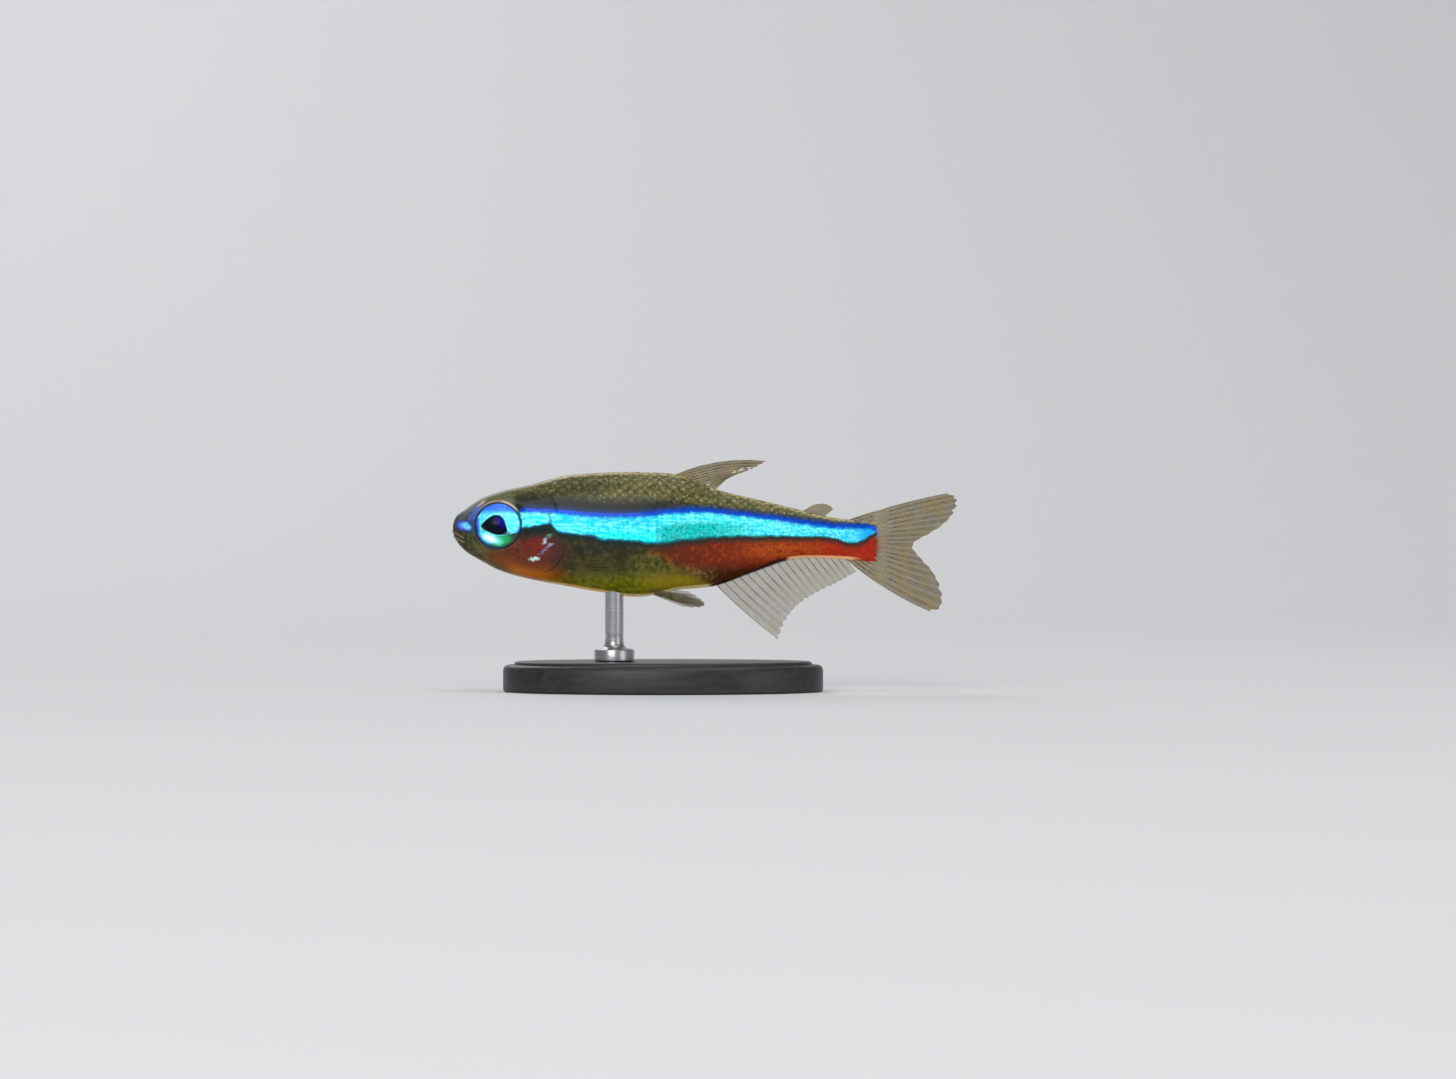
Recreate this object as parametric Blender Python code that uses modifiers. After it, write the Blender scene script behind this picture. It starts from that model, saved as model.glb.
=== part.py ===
"""Green neon tetra, life size: a still display model of the whole fish, held over a flat base by one rod.

The fish swims level with its head towards -X and its left side towards -Y. Z is up, z = 0 is the
underside of the base, and the origin is under the middle of the fish. Sizes in the tables are millimetres.
"""

import math

import bmesh
import bpy
from mathutils import Matrix, Vector

MM = 0.001
GAP = 0.25  # clearance between neighbouring pieces

# Body stations from the snout to the root of the tail fin: distance along X, height of the back,
# height of the belly, half width, and squareness of the section, where 2 is an ellipse.
STATIONS = (
    (-14.98, 9.72, 9.72, 0.00, 2.00),
    (-14.78, 10.38, 8.98, 0.46, 2.00),
    (-14.20, 10.84, 8.32, 0.80, 2.10),
    (-13.25, 11.47, 7.74, 1.10, 2.50),
    (-12.05, 11.90, 7.14, 1.36, 2.80),
    (-10.40, 12.26, 6.68, 1.54, 2.50),
    (-8.40, 12.80, 6.30, 1.65, 2.25),
    (-6.20, 12.99, 5.91, 1.70, 2.15),
    (-3.90, 13.03, 5.63, 1.68, 2.10),
    (-1.60, 12.86, 6.04, 1.50, 2.10),
    (0.60, 12.02, 6.28, 1.26, 2.00),
    (2.90, 11.45, 7.10, 1.02, 2.00),
    (5.20, 10.90, 7.86, 0.80, 2.00),
    (7.40, 10.36, 7.90, 0.60, 2.00),
    (9.90, 10.08, 7.70, 0.42, 2.00),
)
WIDEST_SHARE = 0.52  # height of the widest line, as a share of the body's depth
RINGS_PER_STATION = 4
RING_POINTS = 32
BODY_REACH = 3.0  # further from the middle plane than any flesh

EYE_CENTRE = (-12.24, 9.84)  # along X and Z
EYE_RADIUS = 1.32
EYE_SEAT = 1.20  # from the middle plane to the plane of the orbit's rim
EYE_SLOPE = (0.13, -0.10)  # how that plane leans away per millimetre along X and Z
EYE_DEPTH = 0.55  # from the rim's plane to the back of the eye
PUPIL_RADIUS = 0.65
ORBIT_FLAT = (1.30, 2.05)  # the skin is level with the rim inside the first radius, free past the second
RIM_THICKNESS = 0.14
EYE_SEGMENTS = 24

MOUTH_CORNER = (-14.28, 8.98)
JAW_LINE = ((-15.6, 9.62), (-14.90, 9.34), MOUTH_CORNER, (-13.60, 8.42), (-13.05, 7.90), (-12.85, 6.6))
LIP_RADIUS = 0.13
LIP_RISE = 0.09  # from the mouth's edge to the middle of the lip
LIP_INSET = 0.05  # from the skin to the middle of the lip
NOSTRILS = ((-14.10, 10.40, 0.10), (-13.93, 10.58, 0.12))  # along X and Z, and radius
NOSTRIL_DEPTH = 0.25

HEAD_SOLVER = "MANIFOLD"  # EXACT leaves open edges round cuts as small as a nostril
COVER_CENTRE = (-9.32, 8.72)
COVER_AXES = (1.08, 1.60)
COVER_LEAN = 0.16  # how far the cover leans forward, per millimetre down
COVER_THICKNESS = 0.5
COVER_FROM = 0.55  # nothing of the gill cover lies nearer the middle plane
COVER_STATIONS = (3, 8)  # the stations that the gill cover's inner face is lofted between
NAPE_X = -8.90
TAIL_LINE = ((1.35, 15.0), (0.15, 4.0))

FIN_THICKNESS = 0.5
RAY_THICKNESS = 0.64
TIP_SHARE = 0.5  # thickness left at a fin's edge
TAPER_FROM = 0.7  # where along a ray the fin starts to thin
# Fins of the middle plane: where their rays leave the flesh, and where they end, from the first ray on.
DORSAL_ROOT_X = (-1.45, 0.60)
DORSAL_TIPS = (
    (3.62, 13.68), (3.10, 13.38), (2.52, 13.12), (1.90, 12.90), (1.36, 12.66), (0.98, 12.36),
)
ADIPOSE_ROOT_X = (5.80, 7.10)
ADIPOSE_TIPS = ((6.40, 11.08), (6.90, 11.16), (7.38, 11.05), (7.60, 10.82))
ANAL_ROOT_X = (0.75, 8.35)
ANAL_TIPS = (
    (4.32, 3.12), (4.64, 3.96), (5.06, 4.70), (5.62, 5.24), (6.24, 5.66), (6.94, 6.05), (7.68, 6.40),
    (8.32, 6.74), (8.95, 7.10),
)
CAUDAL_ROOTS = (
    (8.60, 10.15), (9.30, 9.80), (9.62, 9.35), (9.68, 8.90), (9.62, 8.45), (9.30, 7.98), (8.70, 7.72),
)
CAUDAL_TIPS = (
    (14.35, 11.77), (14.86, 11.60), (14.98, 11.25), (14.84, 10.75), (14.50, 10.27), (13.92, 9.74),
    (13.15, 9.28), (12.46, 8.90), (12.36, 8.48), (12.80, 7.93), (13.28, 7.42), (13.70, 6.82),
    (14.00, 6.16), (14.09, 5.50), (13.93, 4.92), (13.34, 4.76),
)
ROOT_SINK = 0.6  # how far a ray starts before its root, inside the flesh
# Paired fins, on the right: the root's middle, the directions along the middle ray and across the rays,
# the root's width, the rays' lengths from the lowest or innermost on, and how far the edges cup.
PECTORAL_FIN = (
    (-8.30, 1.00, 7.42), (1.0, 0.52, -0.16), (0.05, 0.15, 1.0), 0.7, (2.3, 3.0, 3.6, 3.7, 3.2), 0.15,
)
PELVIC_FIN = (
    (-3.35, 0.42, 6.00), (1.0, 0.22, -0.25), (0.1, 1.0, 0.35), 0.6, (2.2, 3.1, 3.5, 3.3, 2.7), 0.1,
)
PAIRED_SPREAD = 17.0  # degrees from a paired fin's middle ray to its outer rays

ROD_X = -5.4
ROD_RADIUS = 0.55
ROD_FOOT = (1.2, 0.5)  # radius and height of the flange
BASE_CENTRE_X = -2.5
BASE_AXES = (9.5, 5.6)
BASE_HEIGHT = 1.8
BASE_BEVEL = 0.3
BASE_POINTS = 48


def clear_scene():
    for obj in list(bpy.data.objects):
        bpy.data.objects.remove(obj)


def new_collection(name):
    collection = bpy.data.collections.new(name)
    bpy.context.scene.collection.children.link(collection)
    return collection


def new_material(name, colour, roughness, metallic=0.0):
    material = bpy.data.materials.new(name)
    material.use_nodes = True
    shader = material.node_tree.nodes["Principled BSDF"]
    shader.inputs["Base Color"].default_value = (*colour, 1.0)
    shader.inputs["Roughness"].default_value = roughness
    shader.inputs["Metallic"].default_value = metallic
    return material


def smooth_curve(values, t):
    """A smooth curve through evenly numbered values, read at t, with straight run-out at both ends."""
    last = len(values) - 1
    k = min(int(t), last - 1)
    u = t - k
    b, c = values[k], values[k + 1]
    a = values[k - 1] if k > 0 else 2 * b - c
    d = values[k + 2] if k + 2 <= last else 2 * c - b
    return b + 0.5 * u * (c - a + u * (2 * a - 5 * b + 4 * c - d + u * (3 * (b - c) + d - a)))


def smooth_step(low, high, value):
    u = min(max((value - low) / (high - low), 0.0), 1.0)
    return u * u * (3 - 2 * u)


def station_at(t):
    """Position, back, belly, half width and squareness of the body at station number t."""
    columns = [list(column) for column in zip(*STATIONS)]
    if t < 1:
        # The snout is round: past its tip the section would come back turned over.
        x, back, belly, width, square = columns
        mirrored = (x[1], belly[1], back[1], -width[1], square[1])
        columns = [[first, *column] for first, column in zip(mirrored, columns)]
        t += 1
    return [smooth_curve(column, t) for column in columns]


def station_number(x):
    """The station number at which the body is at distance x."""
    low, high = 0.0, len(STATIONS) - 1.0
    while high - low > 1e-6:
        middle = (low + high) / 2
        if station_at(middle)[0] < x:
            low = middle
        else:
            high = middle
    return low


def back_height(x):
    return station_at(station_number(x))[1]


def belly_height(x):
    return station_at(station_number(x))[2]


def half_width(x, z):
    """Distance from the middle plane to the skin at distance x and height z."""
    _, back, belly, width, square = station_at(station_number(x))
    widest = belly + WIDEST_SHARE * (back - belly)
    share = (z - widest) / (back - widest if z > widest else belly - widest)
    return width * max(1 - share**square, 0.0) ** (1 / square)


def eye_plane(x, z):
    """Distance from the middle plane to the plane of the orbit's rim."""
    return EYE_SEAT + EYE_SLOPE[0] * (x - EYE_CENTRE[0]) + EYE_SLOPE[1] * (z - EYE_CENTRE[1])


def body_ring(t, grow):
    """One section of the body, with its skin moved out by grow."""
    x, back, belly, width, square = station_at(t)
    widest = belly + WIDEST_SHARE * (back - belly)
    last = len(STATIONS) - 1
    ring = []
    for k in range(RING_POINTS):
        angle = math.tau * k / RING_POINTS
        across, up = (
            math.copysign(abs(value) ** (2 / square), value) for value in (math.cos(angle), math.sin(angle))
        )
        reach = back - widest if up > 0 else widest - belly
        y, z = abs(across) * width, widest + up * reach
        from_eye = math.hypot(x - EYE_CENTRE[0], z - EYE_CENTRE[1])
        free = smooth_step(*ORBIT_FLAT, from_eye)
        if abs(across) > 1e-6:
            y = y * free + eye_plane(x, z) * (1 - free)
        y = math.copysign(y, across) + across * grow
        ring.append(Vector((x + grow * (2 * t / last - 1), y, z + up * grow)) * MM)
    return ring


def object_from_bmesh(name, bm, collection):
    bmesh.ops.recalc_face_normals(bm, faces=bm.faces)
    mesh = bpy.data.meshes.new(name)
    bm.to_mesh(mesh)
    bm.free()
    obj = bpy.data.objects.new(name, mesh)
    collection.objects.link(obj)
    return obj


def body_solid(name, grow, collection, first=0, last=len(STATIONS) - 1):
    """The body lofted through its sections, with its skin moved out by grow.

    It runs from the first to the last of two stations, and from the snout's tip where first is 0.
    """
    bm = bmesh.new()
    rings = []
    for k in range(first * RINGS_PER_STATION, last * RINGS_PER_STATION + 1):
        if k > 0:
            rings.append([bm.verts.new(point) for point in body_ring(k / RINGS_PER_STATION, grow)])
    for here, there in zip(rings, rings[1:]):
        for k in range(RING_POINTS):
            after = (k + 1) % RING_POINTS
            bm.faces.new((here[k], there[k], there[after], here[after]))
    if first == 0:
        tip = bm.verts.new(Vector((STATIONS[0][0] - grow, 0, STATIONS[0][1])) * MM)
        for k in range(RING_POINTS):
            bm.faces.new((tip, rings[0][k], rings[0][(k + 1) % RING_POINTS]))
    else:
        bm.faces.new(rings[0])
    bm.faces.new(rings[-1])
    return object_from_bmesh(name, bm, collection)


def mesh_from_curve(obj, collection):
    """A curve object made a closed mesh object of the same name and place."""
    bpy.context.view_layer.update()
    graph = bpy.context.evaluated_depsgraph_get()
    mesh = bpy.data.meshes.new_from_object(obj.evaluated_get(graph))
    mesh.transform(obj.matrix_world)
    name = obj.name
    bpy.data.objects.remove(obj)
    bm = bmesh.new()
    bm.from_mesh(mesh)
    bmesh.ops.remove_doubles(bm, verts=bm.verts, dist=1e-7)
    return object_from_bmesh(name, bm, collection)


def plate(name, outline, low, high, collection, upright=True):
    """A flat outline given thickness from low to high: along Y if it stands upright, or else along Z."""
    curve = bpy.data.curves.new(name, "CURVE")
    curve.dimensions = "2D"
    curve.fill_mode = "BOTH"
    curve.extrude = (high - low) / 2 * MM
    spline = curve.splines.new("POLY")
    spline.points.add(len(outline) - 1)
    for point, (u, v) in zip(spline.points, outline):
        point.co = (u * MM, v * MM, 0, 1)
    spline.use_cyclic_u = True
    obj = bpy.data.objects.new(name, curve)
    collection.objects.link(obj)
    middle = (low + high) / 2 * MM
    if upright:
        obj.rotation_euler = (math.pi / 2, 0, 0)
        obj.location = (0, middle, 0)
    else:
        obj.location = (0, 0, middle)
    return mesh_from_curve(obj, collection)


def tube(name, path, radius, thin_ends, collection):
    """A round bead along a path, thinner at both ends."""
    curve = bpy.data.curves.new(name, "CURVE")
    curve.dimensions = "3D"
    curve.bevel_depth = radius * MM
    curve.bevel_resolution = 1
    curve.use_fill_caps = True
    spline = curve.splines.new("POLY")
    spline.points.add(len(path) - 1)
    last = len(path) - 1
    for k, (point, place) in enumerate(zip(spline.points, path)):
        point.co = (*(Vector(place) * MM), 1)
        point.radius = thin_ends + (1 - thin_ends) * math.sin(math.pi * k / last)
    obj = bpy.data.objects.new(name, curve)
    collection.objects.link(obj)
    return mesh_from_curve(obj, collection)


def turned(name, profile, segments, collection):
    """A profile of radius and height, turned round Z."""
    bm = bmesh.new()
    verts = [bm.verts.new(Vector((radius, 0, height)) * MM) for radius, height in profile]
    for a, b in zip(verts, verts[1:]):
        bm.edges.new((a, b))
    mesh = bpy.data.meshes.new(name)
    bm.to_mesh(mesh)
    bm.free()
    obj = bpy.data.objects.new(name, mesh)
    collection.objects.link(obj)
    screw = obj.modifiers.new("turn", "SCREW")
    screw.axis = "Z"
    screw.steps = screw.render_steps = segments
    screw.use_merge_vertices = True
    screw.merge_threshold = 1e-6
    return obj


def boolean(obj, other, operation, solver="EXACT"):
    modifier = obj.modifiers.new(other.name, "BOOLEAN")
    modifier.operation = operation
    modifier.solver = solver
    modifier.object = other


def apply_modifiers(obj):
    bpy.context.view_layer.update()
    graph = bpy.context.evaluated_depsgraph_get()
    mesh = bpy.data.meshes.new_from_object(obj.evaluated_get(graph))
    obj.modifiers.clear()
    obj.data = mesh


def keep_largest(obj):
    """Keeps the largest closed surface of a node, and drops the scraps that its cuts leave."""
    bm = bmesh.new()
    bm.from_mesh(obj.data)
    left, islands = set(bm.verts), []
    while left:
        island, front = set(), [next(iter(left))]
        while front:
            vert = front.pop()
            if vert not in island:
                island.add(vert)
                front.extend(edge.other_vert(vert) for edge in vert.link_edges)
        islands.append(island)
        left -= island
    largest = max(islands, key=len)
    scraps = [vert for vert in bm.verts if vert not in largest]
    bmesh.ops.delete(bm, geom=scraps, context="VERTS")
    bm.to_mesh(obj.data)
    bm.free()


def join_pieces(obj, pieces):
    """Fuses closed pieces to a node with one union, and removes them."""
    apply_modifiers(obj)
    group = bpy.data.collections.new(obj.name + "_pieces")
    for piece in pieces:
        group.objects.link(piece)
    modifier = obj.modifiers.new("join", "BOOLEAN")
    modifier.operation = "UNION"
    modifier.solver = "EXACT"
    modifier.operand_type = "COLLECTION"
    modifier.collection = group
    apply_modifiers(obj)
    for piece in pieces:
        bpy.data.objects.remove(piece)
    bpy.data.collections.remove(group)


def finish_node(obj, material, smooth_angle=40):
    apply_modifiers(obj)
    keep_largest(obj)
    obj.data.materials.clear()
    obj.data.materials.append(material)
    obj.data.shade_smooth()
    obj.data.set_sharp_from_angle(angle=math.radians(smooth_angle))
    return obj


def hide_cutter(obj):
    obj.hide_render = True
    obj.display_type = "WIRE"
    return obj


def offset_line(points, distance):
    """A line in the side view moved sideways: to its left for a positive distance."""
    moved = []
    for k, point in enumerate(points):
        before = Vector(points[max(k - 1, 0)])
        after = Vector(points[min(k + 1, len(points) - 1)])
        along = (after - before).normalized()
        moved.append((point[0] - along.y * distance, point[1] + along.x * distance))
    return moved


def cover_edge(degrees, grow=0.0):
    """A point of the gill cover's edge: an oval that leans forward and is fuller behind."""
    angle = math.radians(degrees)
    up = (COVER_AXES[1] + grow) * math.sin(angle)
    back = (COVER_AXES[0] + grow) * math.cos(angle) * (1.0 if abs(degrees % 360 - 180) > 90 else 0.92)
    return COVER_CENTRE[0] + back + COVER_LEAN * up, COVER_CENTRE[1] + up


def behind_gill_line(offset):
    """The head's rear edge from nape to throat, moved back by offset: it rounds the gill cover."""
    arc = [cover_edge(degrees) for degrees in range(50, -71, -10)]
    line = [(NAPE_X, 15.0), (NAPE_X, 10.9), *arc, (-9.95, 6.6), (-10.2, 4.0)]
    return offset_line(line, offset)


def cover_outline(grow):
    return [cover_edge(degrees, grow) for degrees in range(0, 360, 10)]


def side_region(name, line, far_x, collection):
    """All that lies between a line of the side view and far_x, right through the body."""
    outline = [*line, (far_x, line[-1][1]), (far_x, line[0][1])]
    return hide_cutter(plate(name, outline, -BODY_REACH, BODY_REACH, collection))


def evenly_spaced(points, count):
    """count points at equal distances along a line."""
    points = [Vector(point) for point in points]
    lengths = [0.0]
    for here, there in zip(points, points[1:]):
        lengths.append(lengths[-1] + (there - here).length)
    line, k = [], 0
    for number in range(count):
        along = lengths[-1] * number / (count - 1)
        while k < len(points) - 2 and lengths[k + 1] < along:
            k += 1
        share = (along - lengths[k]) / (lengths[k + 1] - lengths[k])
        line.append(points[k].lerp(points[k + 1], share))
    return line


def mouth_edge(rise, inset):
    """A path round the snout from one mouth corner to the other.

    It runs rise above the mouth's line and inset inside the skin.
    """
    (front_x, front_z), (corner_x, corner_z) = JAW_LINE[1], MOUTH_CORNER
    slope = (corner_z - front_z) / (corner_x - front_x)

    def height(x):
        return front_z + slope * (x - front_x) + rise

    low, high = 0.0, 1.0
    while high - low > 1e-6:
        middle = (low + high) / 2
        x, _, belly, _, _ = station_at(middle)
        if belly > height(x):
            low = middle
        else:
            high = middle
    end = station_number(corner_x)
    side = []
    steps = 40
    for k in range(1, steps + 1):
        x = station_at(high + (end - high) * (k / steps) ** 2)[0]
        side.append((x + inset, half_width(x, height(x)) * (1 - inset), height(x)))
    left = [(x, -y, z) for x, y, z in reversed(side)]
    return evenly_spaced([*left, *side], 13)


def eye_matrix(side):
    """Turns a piece made round Z so that it looks out of the orbit. side is -1 on the left, 1 on the right."""
    outward = Vector((-EYE_SLOPE[0], side, -EYE_SLOPE[1])).normalized()
    place = Vector((EYE_CENTRE[0], side * EYE_SEAT, EYE_CENTRE[1])) * MM
    return Matrix.Translation(place) @ outward.to_track_quat("Z", "Y").to_matrix().to_4x4()


def orbit_rim(side, collection):
    bpy.ops.mesh.primitive_torus_add(
        major_radius=(EYE_RADIUS + GAP + RIM_THICKNESS / 2) * MM,
        minor_radius=RIM_THICKNESS * MM,
        major_segments=EYE_SEGMENTS,
        minor_segments=6,
    )
    rim = bpy.context.object
    rim.data.transform(eye_matrix(side))
    for owner in list(rim.users_collection):
        owner.objects.unlink(rim)
    collection.objects.link(rim)
    return rim


def round_cutter(name, radius, low, high, matrix, segments, collection):
    """A cylinder from low to high along the Z axis of a matrix."""
    bm = bmesh.new()
    shift = Matrix.Translation((0, 0, (low + high) / 2 * MM))
    bmesh.ops.create_cone(
        bm, cap_ends=True, segments=segments, radius1=radius * MM, radius2=radius * MM,
        depth=(high - low) * MM, matrix=matrix @ shift,
    )
    return hide_cutter(object_from_bmesh(name, bm, collection))


def make_head(material, parts, cutters):
    """The head without the lower jaw, the eyes and the gill covers."""
    head = body_solid("head", 0, parts)
    lip = tube("upper_lip", mouth_edge(GAP + LIP_RISE, LIP_INSET), LIP_RADIUS, 0.6, cutters)
    join_pieces(head, [lip, *(orbit_rim(side, cutters) for side in (-1, 1))])
    boolean(head, side_region("head_region", behind_gill_line(0), -17, cutters), "INTERSECT")
    jaw_line = offset_line(JAW_LINE, GAP)
    outline = [*jaw_line, (-17, jaw_line[-1][1]), (-17, jaw_line[0][1])]
    mouth = hide_cutter(plate("mouth_cut", outline, -BODY_REACH, BODY_REACH, cutters))
    boolean(head, mouth, "DIFFERENCE")
    core = hide_cutter(body_solid("gill_core", -(COVER_THICKNESS + GAP), cutters, *COVER_STATIONS))
    for side, word in ((-1, "left"), (1, "right")):
        low, high = sorted((side * (COVER_FROM - GAP), side * BODY_REACH))
        recess = plate("gill_recess_" + word, cover_outline(GAP), low, high, cutters)
        boolean(recess, core, "DIFFERENCE")
        apply_modifiers(recess)
        boolean(head, hide_cutter(recess), "DIFFERENCE", HEAD_SOLVER)
        socket = round_cutter(
            "socket_" + word, EYE_RADIUS + GAP, -(EYE_DEPTH + GAP), 2.0, eye_matrix(side), EYE_SEGMENTS, cutters
        )
        boolean(head, socket, "DIFFERENCE", HEAD_SOLVER)
        for number, (x, z, radius) in enumerate(NOSTRILS):
            y = half_width(x, z)
            outward = Vector((-0.5, side, 0.55)).to_track_quat("Z", "Y").to_matrix().to_4x4()
            matrix = Matrix.Translation(Vector((x, side * y, z)) * MM) @ outward
            pit = round_cutter(f"nostril_{word}_{number}", radius, -NOSTRIL_DEPTH, 0.5, matrix, 8, cutters)
            boolean(head, pit, "DIFFERENCE", HEAD_SOLVER)
    return finish_node(head, material)


def make_lower_jaw(material, parts, cutters):
    jaw = body_solid("lower_jaw", 0, parts)
    join_pieces(jaw, [tube("lower_lip", mouth_edge(-LIP_RISE, LIP_INSET), LIP_RADIUS, 0.6, cutters)])
    boolean(jaw, side_region("jaw_region", JAW_LINE, -17, cutters), "INTERSECT")
    return finish_node(jaw, material)


def make_gill_cover(side, word, material, parts, cutters):
    """The bony plate over the gills, which is free along its rear edge."""
    low, high = sorted((side * COVER_FROM, side * BODY_REACH))
    cover = plate("gill_cover_" + word, cover_outline(0), low, high, parts)
    boolean(cover, hide_cutter(body_solid("cover_outside_" + word, 0, cutters)), "INTERSECT")
    inside = body_solid("cover_inside_" + word, -COVER_THICKNESS, cutters, *COVER_STATIONS)
    boolean(cover, hide_cutter(inside), "DIFFERENCE")
    return finish_node(cover, material)


def make_trunk(material, parts, cutters):
    trunk = body_solid("trunk", 0, parts)
    boolean(trunk, side_region("head_space", behind_gill_line(GAP), -17, cutters), "DIFFERENCE")
    boolean(trunk, side_region("tail_space", TAIL_LINE, 17, cutters), "DIFFERENCE")
    return finish_node(trunk, material)


def make_tail(material, parts, cutters):
    tail = body_solid("tail", 0, parts)
    boolean(tail, side_region("trunk_space", offset_line(TAIL_LINE, GAP), -17, cutters), "DIFFERENCE")
    return finish_node(tail, material)


def make_eye(side, word, material, parts):
    """A domed lens with a raised pupil and a flat back."""
    profile = [
        (0, 0.36), (0.3, 0.35), (PUPIL_RADIUS - 0.05, 0.31), (PUPIL_RADIUS + 0.02, 0.25), (0.95, 0.18),
        (1.17, 0.09), (EYE_RADIUS, -0.04), (EYE_RADIUS, -0.3), (EYE_RADIUS - 0.3, -EYE_DEPTH), (0, -EYE_DEPTH),
    ]
    eye = turned("eye_" + word, profile, EYE_SEGMENTS, parts)
    apply_modifiers(eye)
    eye.data.transform(eye_matrix(side))
    return finish_node(eye, material)


def fin_solid(name, surface, normal, rays, rows, collection, ridge=RAY_THICKNESS):
    """A fin of one solid: a membrane with a ridge along each ray on both faces.

    surface(s, t) is the middle of the fin, s from the first ray to the last and t from root to tip.
    Both faces are split into the same triangles.
    """
    columns = 2 * rays - 1
    bm = bmesh.new()
    faces = {}
    for face in (1, -1):
        for column in range(columns):
            thickness = ridge if column % 2 == 0 else FIN_THICKNESS
            for row in range(rows + 1):
                t = row / rows
                left = 1 - (1 - TIP_SHARE) * smooth_step(TAPER_FROM, 1.0, t)
                middle = surface(column / (columns - 1), t)
                faces[face, column, row] = bm.verts.new((middle + face * normal * thickness * left / 2) * MM)
    for column in range(columns - 1):
        for row in range(rows):
            for face in (1, -1):
                a, b = faces[face, column, row], faces[face, column + 1, row]
                c, d = faces[face, column + 1, row + 1], faces[face, column, row + 1]
                bm.faces.new((a, b, c)[::face])
                bm.faces.new((a, c, d)[::face])
        for row in (0, rows):
            bm.faces.new((
                faces[1, column, row], faces[1, column + 1, row], faces[-1, column + 1, row], faces[-1, column, row],
            ))
    for column in (0, columns - 1):
        for row in range(rows):
            bm.faces.new((
                faces[1, column, row], faces[1, column, row + 1], faces[-1, column, row + 1], faces[-1, column, row],
            ))
    return object_from_bmesh(name, bm, collection)


def point_along(points, s):
    """A smooth line through evenly spaced points, read at s from 0 to 1."""
    t = s * (len(points) - 1)
    return Vector([smooth_curve(column, t) for column in zip(*points)])


def middle_fin(roots, tips, bows=(0.0, 0.0), sway=0.0, ripple=0.0):
    """The surface of a fin in the fish's middle plane.

    roots and tips are points of the side view. Each ray starts ROOT_SINK before its root, inside the
    flesh. bows bends the first and the last ray in that plane, and sway and ripple carry the free edge
    out of it.
    """
    def surface(s, t):
        root, tip = point_along(roots, s), point_along(tips, s)
        root += (root - tip).normalized() * ROOT_SINK
        bow = bows[0] + (bows[1] - bows[0]) * s
        across = Vector((-(tip - root).y, (tip - root).x))
        place = root.lerp(tip, t) + across * bow * 4 * t * (1 - t)
        y = sway * t * t + ripple * math.sin(math.tau * 1.5 * s) * t
        return Vector((place.x, y, place.y))

    return surface


def paired_fin(side, root, along, fan, root_width, lengths, cup):
    """The surface of a paired fin, which fans out round its root, and its normal. side is -1 on the left."""
    root, along, fan = (Vector((x, side * y, z)) for x, y, z in (root, along, fan))
    along.normalize()
    normal = along.cross(fan).normalized()
    fan = normal.cross(along).normalized()

    def surface(s, t):
        share = 2 * s - 1
        length = point_along([(value, 0) for value in lengths], s).x
        spread = math.radians(PAIRED_SPREAD) * share
        ray = along * math.cos(spread) + fan * math.sin(spread)
        return root + fan * share * root_width / 2 + ray * length * t + normal * cup * share * share * t

    return surface, normal


def roots_on_back(low, high):
    return [(x, back_height(x)) for x in (low, (low + high) / 2, high)]


def roots_on_belly(low, high):
    last = 4
    places = [low + (high - low) * k / last for k in range(last + 1)]
    return [(x, belly_height(x)) for x in places]


def make_fin(name, surface, normal, rays, rows, material, skin_space, parts, ridge=RAY_THICKNESS):
    fin = fin_solid(name, surface, normal, rays, rows, parts, ridge)
    boolean(fin, skin_space, "DIFFERENCE")
    return finish_node(fin, material)


def make_fins(material, skin_space, parts):
    side = Vector((0, 1, 0))
    median = (
        ("dorsal_fin", roots_on_back(*DORSAL_ROOT_X), DORSAL_TIPS, (0.07, 0.0), 0.10, 0.05, 11, 6),
        ("anal_fin", roots_on_belly(*ANAL_ROOT_X), ANAL_TIPS, (-0.02, 0.0), -0.15, 0.08, 18, 6),
        ("caudal_fin", CAUDAL_ROOTS, CAUDAL_TIPS, (0.02, -0.04), 0.25, 0.08, 19, 7),
    )
    for name, roots, tips, bows, sway, ripple, rays, rows in median:
        surface = middle_fin(roots, tips, bows, sway, ripple)
        make_fin(name, surface, side, rays, rows, material, skin_space, parts)
    surface = middle_fin(roots_on_back(*ADIPOSE_ROOT_X), ADIPOSE_TIPS)
    make_fin("adipose_fin", surface, side, 5, 4, material, skin_space, parts, ridge=FIN_THICKNESS)
    for hand, word in ((-1, "left"), (1, "right")):
        surface, normal = paired_fin(hand, *PECTORAL_FIN)
        make_fin("pectoral_fin_" + word, surface, normal, 9, 5, material, skin_space, parts)
        surface, normal = paired_fin(hand, *PELVIC_FIN)
        make_fin("pelvic_fin_" + word, surface, normal, 8, 5, material, skin_space, parts)


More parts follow.
